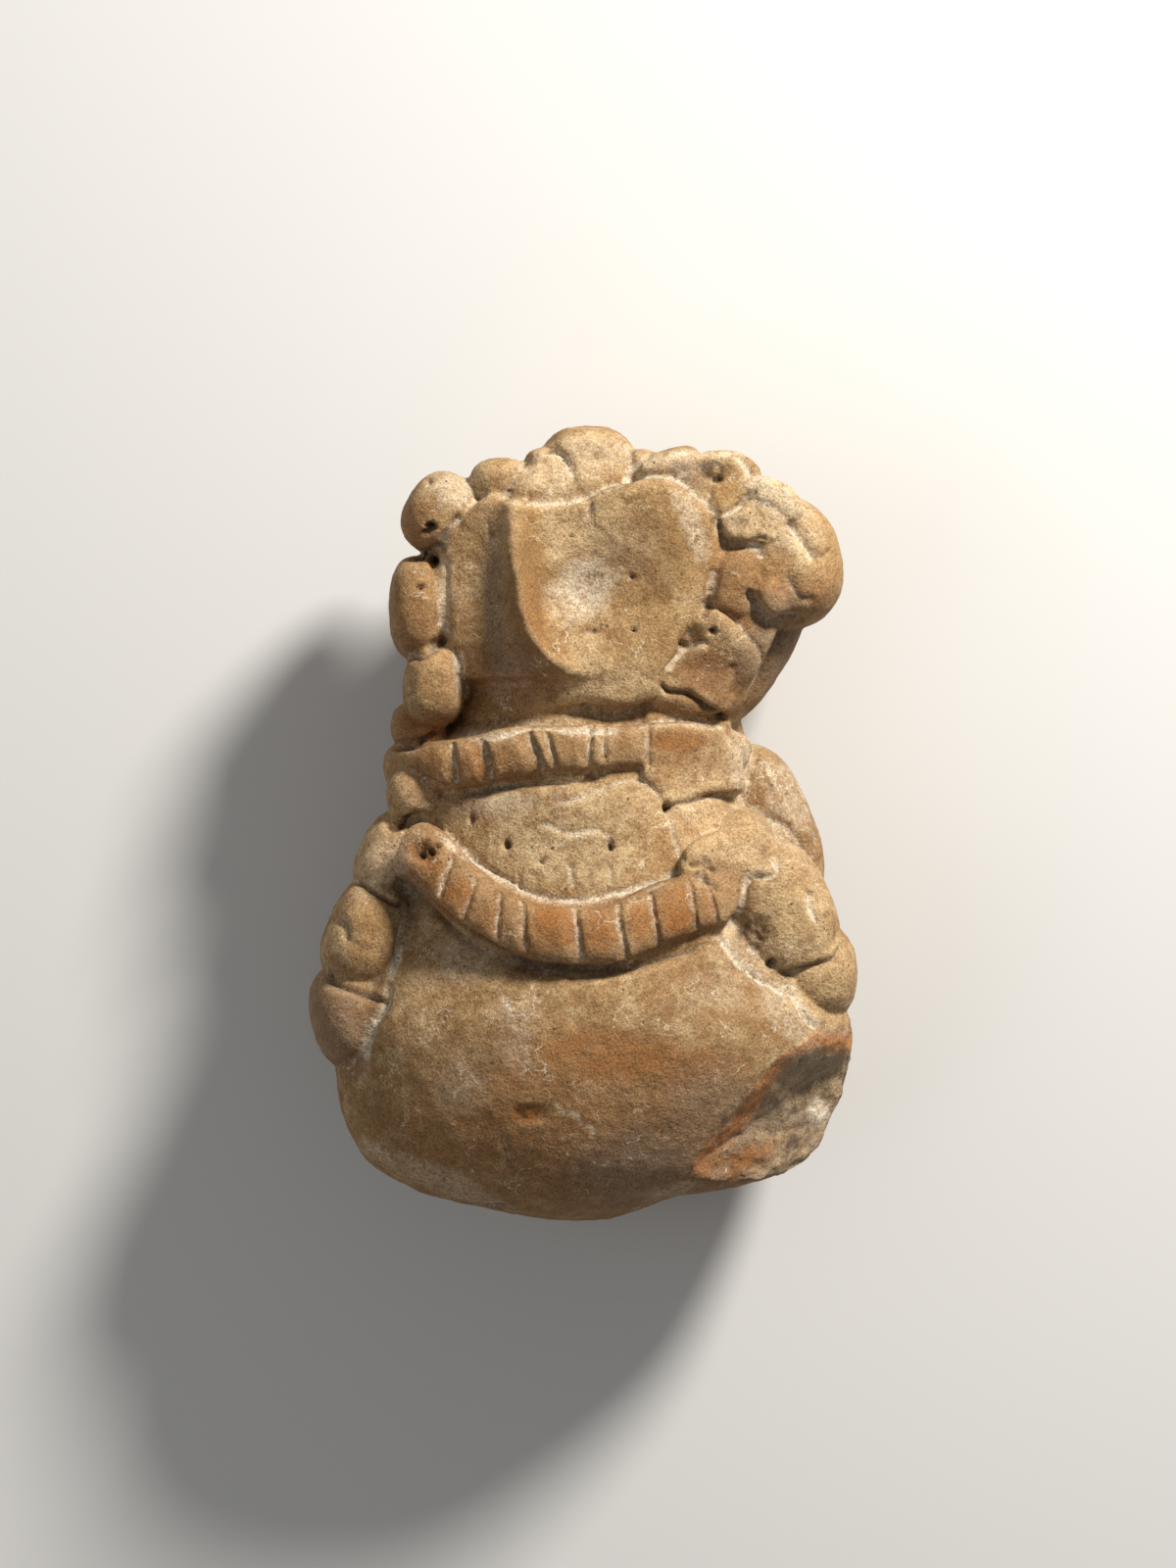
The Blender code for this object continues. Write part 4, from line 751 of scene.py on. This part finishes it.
def read(mesh, name):
    """Every vertex's place or normal as rows of three numbers."""
    values = np.empty(3 * len(mesh.vertices), np.float32)
    mesh.vertices.foreach_get(name, values)
    return values.reshape(-1, 3).astype(float)


def write(mesh, places):
    """Give every vertex its new place."""
    mesh.vertices.foreach_set("co", places.astype(np.float32).ravel())
    mesh.update()


def joined_ends(mesh):
    """The two vertices of every edge."""
    ends = np.empty(2 * len(mesh.edges), np.int32)
    mesh.edges.foreach_get("vertices", ends)
    return ends.reshape(-1, 2)


def spread(values, ends, rounds):
    """Average each vertex's values with its neighbours', a number of times."""
    count = len(values)
    links = np.bincount(ends.ravel(), minlength=count).astype(float)
    for _ in range(rounds):
        total = np.empty_like(values)
        for k in range(values.shape[1]):
            column = values[:, k]
            total[:, k] = np.bincount(ends[:, 0], column[ends[:, 1]], count)
            total[:, k] += np.bincount(ends[:, 1], column[ends[:, 0]], count)
        values = 0.5 * values + 0.5 * total / links[:, None]
    return values


def hollowness(places, normals, ends, rounds):
    """How far the skin lies below its own average: positive in seams, negative on edges."""
    return np.einsum("ij,ij->i", spread(places, ends, rounds) - places, normals)


def press_cuts(places, normals, thick, cuts):
    """Cuts pressed across a roll, a slope on one side and a wall on the other; returns a painted highlight
    along the slope.
    """
    wobble = waves(places, CUT_WAVES)
    pale = np.zeros(len(places))
    for x, y, lean, slope, depth in cuts:
        angle = math.radians(lean)
        offset = places[:, :2] - (x, y)
        ahead = offset[:, 0] * math.cos(angle) + offset[:, 1] * math.sin(angle)
        aside = np.abs(offset[:, 1] * math.cos(angle) - offset[:, 0] * math.sin(angle))
        ahead = ahead + wobble
        mark = np.clip(np.minimum(1.0 + ahead / slope, 1.0 - ahead / CUT_WALL), 0.0, 1.0)
        near = (aside < thick * CUT_NEAR) & (np.abs(ahead) < CUT_REACH)
        top = places[near, 2].max()
        across = smoothstep((thick * CUT_LENGTH - aside) / CUT_END)
        across = across * smoothstep((places[:, 2] - top + CUT_FLOOR) / CUT_FADE) * (normals[:, 2] > 0.0)
        places[:, 2] -= depth * mark * across
        # Painted highlight on the slope beside each cut, the side that faces the light.
        slope_middle = (ahead + CUT_HIGHLIGHT_PLACE) / CUT_HIGHLIGHT_WIDTH
        pale = np.maximum(pale, across * np.exp(-(slope_middle**2)))
    return pale


def carve_seams(places, normals):
    """Grooves along the seams, each with a lip on one side; returns pale deposit and painted shade along
    their cracks.
    """
    deposit = np.zeros(len(places))
    crack_shade = np.zeros(len(places))
    facing = smoothstep(normals[:, 2] / SEAM_FACING)
    flat = strayed(places, SEAM_STRAY)
    move = np.zeros(len(places))
    for depth, width, rise, pale, line in SEAMS:
        points = np.reshape(line, (-1, 2))
        path = through(points, CURVE_STEPS * len(points))
        reach = 3.0 * LIP_REACH
        near = np.all((flat > path.min(axis=0) - reach) & (flat < path.max(axis=0) + reach), axis=1)
        near &= normals[:, 2] > 0.0
        gap, along = line_place(flat[near], path)
        fade = smoothstep(along / SEAM_END) * smoothstep((1.0 - along) / SEAM_END) * facing[near]
        groove = depth * np.exp(-np.abs(gap / width) ** SEAM_SHAPE)
        lip_side = smoothstep(0.5 + np.sign(rise) * gap / LIP_EDGE)
        lip = abs(rise) * np.exp(-np.abs(gap) / LIP_REACH) * lip_side
        move[near] += (lip - groove) * fade
        powder = pale * fade * np.exp(-((gap / (width + POWDER_MARGIN)) ** 2))
        deposit[near] = np.maximum(deposit[near], powder)
        # Painted shade in the crack of a deep seam where it has no pale deposit.
        dark = min(1.0, CRACK_SHARE * depth) * (1.0 - pale) * fade * np.exp(-((gap / CRACK_WIDTH) ** 2))
        crack_shade[near] = np.maximum(crack_shade[near], dark)
    places += normals * move[:, None]
    return deposit, crack_shade


def sink_pits(places, normals):
    """Pits and crumbled spots; returns how deep in one each place lies."""
    depths = np.zeros(len(places))
    crumbs = waves(places, CRUMBS)
    flat = strayed(places, PIT_STRAY)
    for x, y, wide, tall, depth, crumbled in PITS:
        away = np.hypot((flat[:, 0] - x) / wide, (flat[:, 1] - y) / tall)
        mark = np.exp(-(away**PIT_SHAPE)) * (normals[:, 2] > PIT_FACING)
        depths = np.maximum(depths, depth * mark * (1.0 + crumbled * crumbs))
    places -= normals * depths[:, None]
    return depths


def plane_height(three, places):
    """Height of the plane through three points above every place."""
    a, b, c = (Vector(p) for p in three)
    up = (b - a).cross(c - a)
    return a.z - ((places[:, 0] - a.x) * up.x + (places[:, 1] - a.y) * up.y) / up.z


def break_corner(places):
    """Take away the clay above the two faces of the old break."""
    upper = plane_height(BREAK_UPPER, places)
    lower = plane_height(BREAK_LOWER, places)
    limit = np.maximum(upper, lower) + waves(places, BREAK_EDGE_WAVES)
    above = np.where(places[:, 0] > 0.0, places[:, 2] - limit, CLEAR_OF_BREAK)
    worn = 0.5 * (above + np.hypot(above, BREAK_WEAR)) * smoothstep((BREAK_TOP - places[:, 1]) / BREAK_SLOPE)
    places[:, 2] -= worn
    return (above > 0.0) & (places[:, 1] < BREAK_TOP)


def patches(places, rows, seed):
    """Soft uneven patches of a table."""
    total = np.zeros(len(places))
    edge = waves(places, (PATCH_WAVE, PATCH_WAVE_SIZE, seed))
    for x, y, wide, tall, strength, *turn in rows:
        angle = math.radians(sum(turn))
        right = (places[:, 0] - x) * math.cos(angle) + (places[:, 1] - y) * math.sin(angle)
        up = (places[:, 1] - y) * math.cos(angle) - (places[:, 0] - x) * math.sin(angle)
        away = np.hypot(right / wide, up / tall)
        total = np.maximum(total, strength * smoothstep(PATCH_REACH - away + edge))
    return total * smoothstep((places[:, 2] - PAINT_START) / PAINT_RISE)


def along_roll(places, roll, thick):
    """Where the skin belongs to a roll: 1 on it, 0 away from it."""
    gap = np.abs(line_place(places[:, :2], through(roll, CURVE_STEPS * len(roll))[:, :2])[0])
    front = smoothstep((places[:, 2] - ROLL_START) / ROLL_RISE)
    return smoothstep((thick + ROLL_MARGIN - gap) / ROLL_FADE) * front


def paint(skin, marks):
    """Keep each mark on the skin under its name, for the material."""
    for name, values in marks.items():
        layer = skin.attributes.new(name, "FLOAT", "POINT")
        layer.data.foreach_set("value", np.clip(values, 0.0, 1.0).astype(np.float32))


def make_bust():
    """The whole skin, fitted to the solid."""
    clay = bmesh.new()
    add_core(clay)
    add_pellets(clay)
    add_leaf(clay, FACE_OUTLINE, face_height, FACE_SOFTNESS)
    for leaf in LEAVES:
        add_laid_leaf(clay, *leaf)
    add_roll(clay, CHOKER, CHOKER_THICK)
    add_roll(clay, NECKLACE, NECKLACE_THICK)
    skin = fused(clay)
    places = read(skin, "co")
    normals = read(skin, "normal")
    ends = joined_ends(skin)
    places += normals * sum(waves(places, kind) for kind in SKIN_WAVES)[:, None]
    slope_highlight = press_cuts(places, normals, CHOKER_THICK, CHOKER_CUTS)
    slope_highlight = np.maximum(slope_highlight, press_cuts(places, normals, NECKLACE_THICK, NECKLACE_CUTS))
    powder, crack_shade = carve_seams(places, normals)
    holes = sink_pits(places, normals)
    broken = break_corner(places)
    places += normals * (waves(places, GRAIN_WAVES) + broken * waves(places, BREAK_WAVES))[:, None]
    write(skin, places)
    # How far each place lies below its neighbours; the material paints shade in the hollows from it and lays
    # pale powder there.
    sunk = hollowness(places, read(skin, "normal"), ends, HOLLOW_ROUNDS) / HOLLOW_DEPTH
    necklace = along_roll(places, NECKLACE, NECKLACE_THICK)
    choker = along_roll(places, CHOKER, CHOKER_THICK)
    rust = np.maximum(NECKLACE_RUST * necklace, CHOKER_RUST * choker)
    earth_and_shade = np.maximum(NECKLACE_EARTH * necklace, CHOKER_EARTH * choker)
    earth_and_shade = np.maximum(patches(places, EARTH_AND_SHADE_PATCHES, 75), earth_and_shade) * (1.0 - BREAK_CLEAN * broken)
    # The cut slopes' painted highlight goes into the pale powder mark.
    powder = np.maximum(powder, CUT_HIGHLIGHT * slope_highlight)
    from_rim = np.abs(line_place(places[:, :2], BREAK_RIM)[0])
    paint(skin, {
        # Pale powder, and the painted light of some pale patches.
        "powder": np.maximum(powder, patches(places, PALE_AND_LIGHT_PATCHES, 61)),
        "cream_and_light": patches(places, CREAM_AND_LIGHT_PATCHES, 63),
        "rust": np.maximum(patches(places, RUST_PATCHES, 65), rust),
        "earth_and_shade": earth_and_shade,
        "gold": patches(places, GOLD_PATCHES, 68),
        "smoke_and_shade": patches(places, GREY_AND_SHADE_PATCHES, 71),
        # Pit depth, painted as shade in the pits.
        "holes": holes / PIT_DARK,
        "crack_shade": crack_shade,
        "sunk": sunk,
        # Raised edges and lumps, which the material paints paler.
        "worn": -sunk,
        "broken": broken,
        "lip": broken * smoothstep(1.0 - from_rim / RIM_WIDTH),
    })
    low, high = places.min(axis=0), places.max(axis=0)
    solid_low, solid_high = (np.array(corner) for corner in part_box("bust"))
    places[:, :2] -= (low[:2] + high[:2]) / 2.0
    places[:, 2] = np.maximum(places[:, 2], 0.0)
    step = (solid_high[1] - solid_low[1]) / (high[1] - low[1])
    write(skin, places * step)
    triangles = 2 * len(skin.polygons)
    if triangles > MOST_TRIANGLES:
        skin = with_modifier(skin, "DECIMATE", ratio=MOST_TRIANGLES / triangles)
    skin.shade_smooth()
    return new_object("clay_bust", skin)


class Recipe:
    """Short names for the nodes that a material is put together from."""

    def __init__(self, name, colour):
        self.body = colour
        self.material = bpy.data.materials.new(name)
        self.material.use_nodes = True
        self.nodes = self.material.node_tree.nodes
        self.links = self.material.node_tree.links
        self.shader = self.nodes["Principled BSDF"]
        self.place = self.node("TexCoord").outputs["Object"]

    def fill(self, socket, value):
        if isinstance(value, bpy.types.NodeSocket):
            self.links.new(value, socket)
        else:
            socket.default_value = value

    def node(self, kind, **entries):
        """A new node with its entries filled in."""
        node = self.nodes.new("ShaderNode" + kind)
        for name, value in entries.items():
            self.fill(node.inputs[name], value)
        return node

    def noise(self, size, detail=3.0, roughness=0.6):
        """Noise whose lumps are of a size in metres."""
        grain = self.node("TexNoise", Vector=self.place, Scale=1.0 / size, Detail=detail, Roughness=roughness)
        return grain.outputs["Fac"]

    def dots(self, size):
        """Distance to the nearest of scattered points, in shares of their spacing."""
        return self.node("TexVoronoi", Vector=self.place, Scale=1.0 / size).outputs["Distance"]

    def mark(self, name):
        node = self.node("Attribute")
        node.attribute_name = name
        return node.outputs["Fac"]

    def between(self, value, low, high, start=0.0, end=1.0):
        """The value's share of the way from low to high, laid from start to end."""
        node = self.node("MapRange")
        for socket, entry in zip(node.inputs, (value, low, high, start, end)):
            self.fill(socket, entry)
        return node.outputs["Result"]

    def maths(self, kind, a, b):
        node = self.node("Math")
        node.operation = kind
        self.fill(node.inputs[0], a)
        self.fill(node.inputs[1], b)
        return node.outputs["Value"]

    def mixed(self, share, a, b, kind="MIX"):
        node = self.node("Mix")
        node.data_type = "RGBA"
        node.blend_type = kind
        self.fill(node.inputs["Factor"], share)
        self.fill(node.inputs[6], a)
        self.fill(node.inputs[7], b)
        return node.outputs[2]

    def coat(self, share, colour, kind="MIX"):
        """Lay a colour over those before it."""
        self.body = self.mixed(share, self.body, colour, kind)

    def area(self, name, noise, low, high, start, end):
        """A marked area, broken up by noise."""
        return self.maths("MULTIPLY", self.mark(name), self.between(noise, low, high, start, end))

    def bump(self, height, depth, before=None):
        node = self.node("Bump", Distance=depth, Height=height)
        if before is not None:
            self.links.new(before, node.inputs["Normal"])
        return node.outputs["Normal"]


def clay_material():
    """Sandy fired clay: tan, with rust, grey and golden areas, pale powder in the seams and dark flecks, and
    painted shade in its hollows, pits and seam cracks.
    """
    clay = Recipe("fired_clay", TAN_BROWN)
    mottle = clay.noise(MOTTLE, 4.0)
    cloud = clay.noise(CLOUD, 4.0, 0.65)
    sand = clay.noise(SAND, 2.0, 0.7)
    grit = clay.noise(GRIT, 4.0, 0.75)
    speck = clay.noise(SPECK, 5.0, 0.8)
    clay.coat(clay.between(mottle, 0.38, 0.6), TAN)
    clay.coat(clay.between(cloud, 0.48, 0.66, 0.0, 0.8), TAN_PALE)
    clay.coat(clay.between(cloud, 0.5, 0.34, 0.0, 0.6), TAN_BROWN)
    clay.coat(clay.between(speck, 0.52, 0.66, 0.0, 0.7), TAN_PALE)
    # Cream areas; two of them are painted light.
    clay.coat(clay.area("cream_and_light", cloud, 0.3, 0.6, 0.6, 1.0), CREAM_AND_LIGHT)
    core = clay.mixed(clay.between(cloud, 0.4, 0.6), BROKEN_GREY, BROKEN_TAN)
    clay.coat(clay.maths("MULTIPLY", clay.mark("broken"), 0.85), core)
    clay.coat(clay.area("gold", cloud, 0.3, 0.6, 0.45, 1.0), GOLDEN)
    # Earthy brown, and painted shade in some of its patches.
    clay.coat(clay.area("earth_and_shade", cloud, 0.3, 0.62, 1.0, 0.65), EARTH)
    clay.coat(clay.area("rust", cloud, 0.36, 0.6, 0.35, 1.0), RUST)
    # Grey smoke marks, and painted shade on the nose's side wall and the lower braid end.
    clay.coat(clay.area("smoke_and_shade", cloud, 0.3, 0.6, 0.6, 1.0), SMOKE_AND_SHADE)
    clay.coat(clay.between(speck, 0.49, 0.36, 0.0, 0.75), EARTH)
    clay.coat(clay.mark("lip"), EMBER)
    # Paler where the skin stands above its own average, on raised edges and lumps.
    clay.coat(clay.maths("MULTIPLY", clay.mark("worn"), 0.5), TAN_PALE)
    # Painted shade: darker where the skin lies sunk, in hollows and seams.
    clay.coat(clay.between(clay.mark("sunk"), 0.3, 1.2, 0.0, 0.4), DEEP)
    strands = clay.maths("ABSOLUTE", clay.maths("SUBTRACT", clay.noise(STRAND, 4.0, 0.55), 0.5), 0.0)
    strands = clay.between(strands, 0.009, 0.0, 0.0, 0.9)
    strands = clay.maths("MULTIPLY", strands, clay.between(clay.noise(STRAND_AREA, 2.0), 0.49, 0.6))
    powder = clay.maths("ADD", clay.mark("powder"), clay.between(clay.mark("sunk"), 0.05, 0.5, 0.0, 0.35))
    powder = clay.maths("ADD", powder, strands)
    powder = clay.maths("MULTIPLY", powder, clay.between(grit, 0.34, 0.56, 0.15, 1.0))
    # Pale powder in seams and hollows; the same coat paints the highlight on the cut slopes and the light of
    # some pale patches.
    clay.coat(clay.between(powder, 0.1, 0.9, 0.0, 0.85), POWDER)
    # Painted shade in the pits, darker in deeper ones.
    clay.coat(clay.between(clay.mark("holes"), 0.3, 1.0, 0.0, 0.8), DEEP)
    # Painted shade along the seam cracks.
    clay.coat(clay.between(clay.mark("crack_shade"), 0.35, 0.95, 0.0, 0.75), DEEP)
    flecks = clay.between(clay.dots(SPECK), 0.2, 0.12)
    clay.coat(clay.maths("MULTIPLY", flecks, clay.between(grit, 0.5, 0.62)), DEEP)
    grains = clay.mixed(clay.between(sand, 0.3, 0.7), SAND_DARK, SAND_LIGHT)
    clay.coat(1.0, grains, "MULTIPLY")
    clay.fill(clay.shader.inputs["Base Color"], clay.body)
    clay.shader.inputs["Roughness"].default_value = 0.92
    clay.shader.inputs["Specular IOR Level"].default_value = 0.25
    normal = clay.bump(clay.noise(DIMPLE, 3.0), DIMPLE_DEPTH)
    normal = clay.bump(grit, DIMPLE_DEPTH, normal)
    normal = clay.bump(sand, SAND_DEPTH, normal)
    clay.fill(clay.shader.inputs["Normal"], normal)
    return clay.material


def make_floor():
    bpy.ops.mesh.primitive_plane_add(size=4.0, location=(0.0, 0.0, 0.0))
    floor = bpy.context.object
    floor.name = "floor"
    material = bpy.data.materials.new("pale_floor")
    material.use_nodes = True
    shader = material.node_tree.nodes["Principled BSDF"]
    shader.inputs["Base Color"].default_value = FLOOR_GREY
    shader.inputs["Roughness"].default_value = 0.9
    floor.data.materials.append(material)


def add_light(name, place, target, size, power, colour):
    lamp = bpy.data.lights.new(name, "AREA")
    lamp.shape = "DISK"
    lamp.size = size
    lamp.energy = power
    lamp.color = colour
    holder = new_object(name, lamp)
    holder.location = place
    holder.rotation_euler = (Vector(target) - Vector(place)).to_track_quat("-Z", "Y").to_euler()


def make_studio():
    bust_middle = (0.0, 0.0, 0.02)
    add_light("key_light", (0.225, 0.305, 0.26), bust_middle, 0.1, 3.75, (1.0, 0.97, 0.92))
    add_light("fill_light", (-0.6, -0.1, 0.6), bust_middle, 0.7, 1.4, (0.95, 0.97, 1.0))
    world = bpy.data.worlds.new("studio")
    world.use_nodes = True
    world.node_tree.nodes["Background"].inputs["Color"].default_value = (1.0, 1.0, 1.0, 1.0)
    world.node_tree.nodes["Background"].inputs["Strength"].default_value = 0.2
    bpy.context.scene.world = world


def make_camera():
    """Straight above the lying bust, framed as the photograph is."""
    camera = bpy.data.cameras.new("camera")
    camera.lens = 180.0
    camera.sensor_width = 36.0
    view_tall = 0.16
    x, y, z = 0.0005, 0.00385, 0.018
    holder = new_object("camera", camera)
    distance = view_tall * camera.lens / camera.sensor_width
    holder.location = (x, y, z + distance)
    bpy.context.scene.camera = holder


bust = make_bust()
bust.data.materials.append(clay_material())
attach(bust, "root")
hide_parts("bust")
make_floor()
make_studio()
make_camera()
bpy.context.scene.view_settings.view_transform = "Standard"
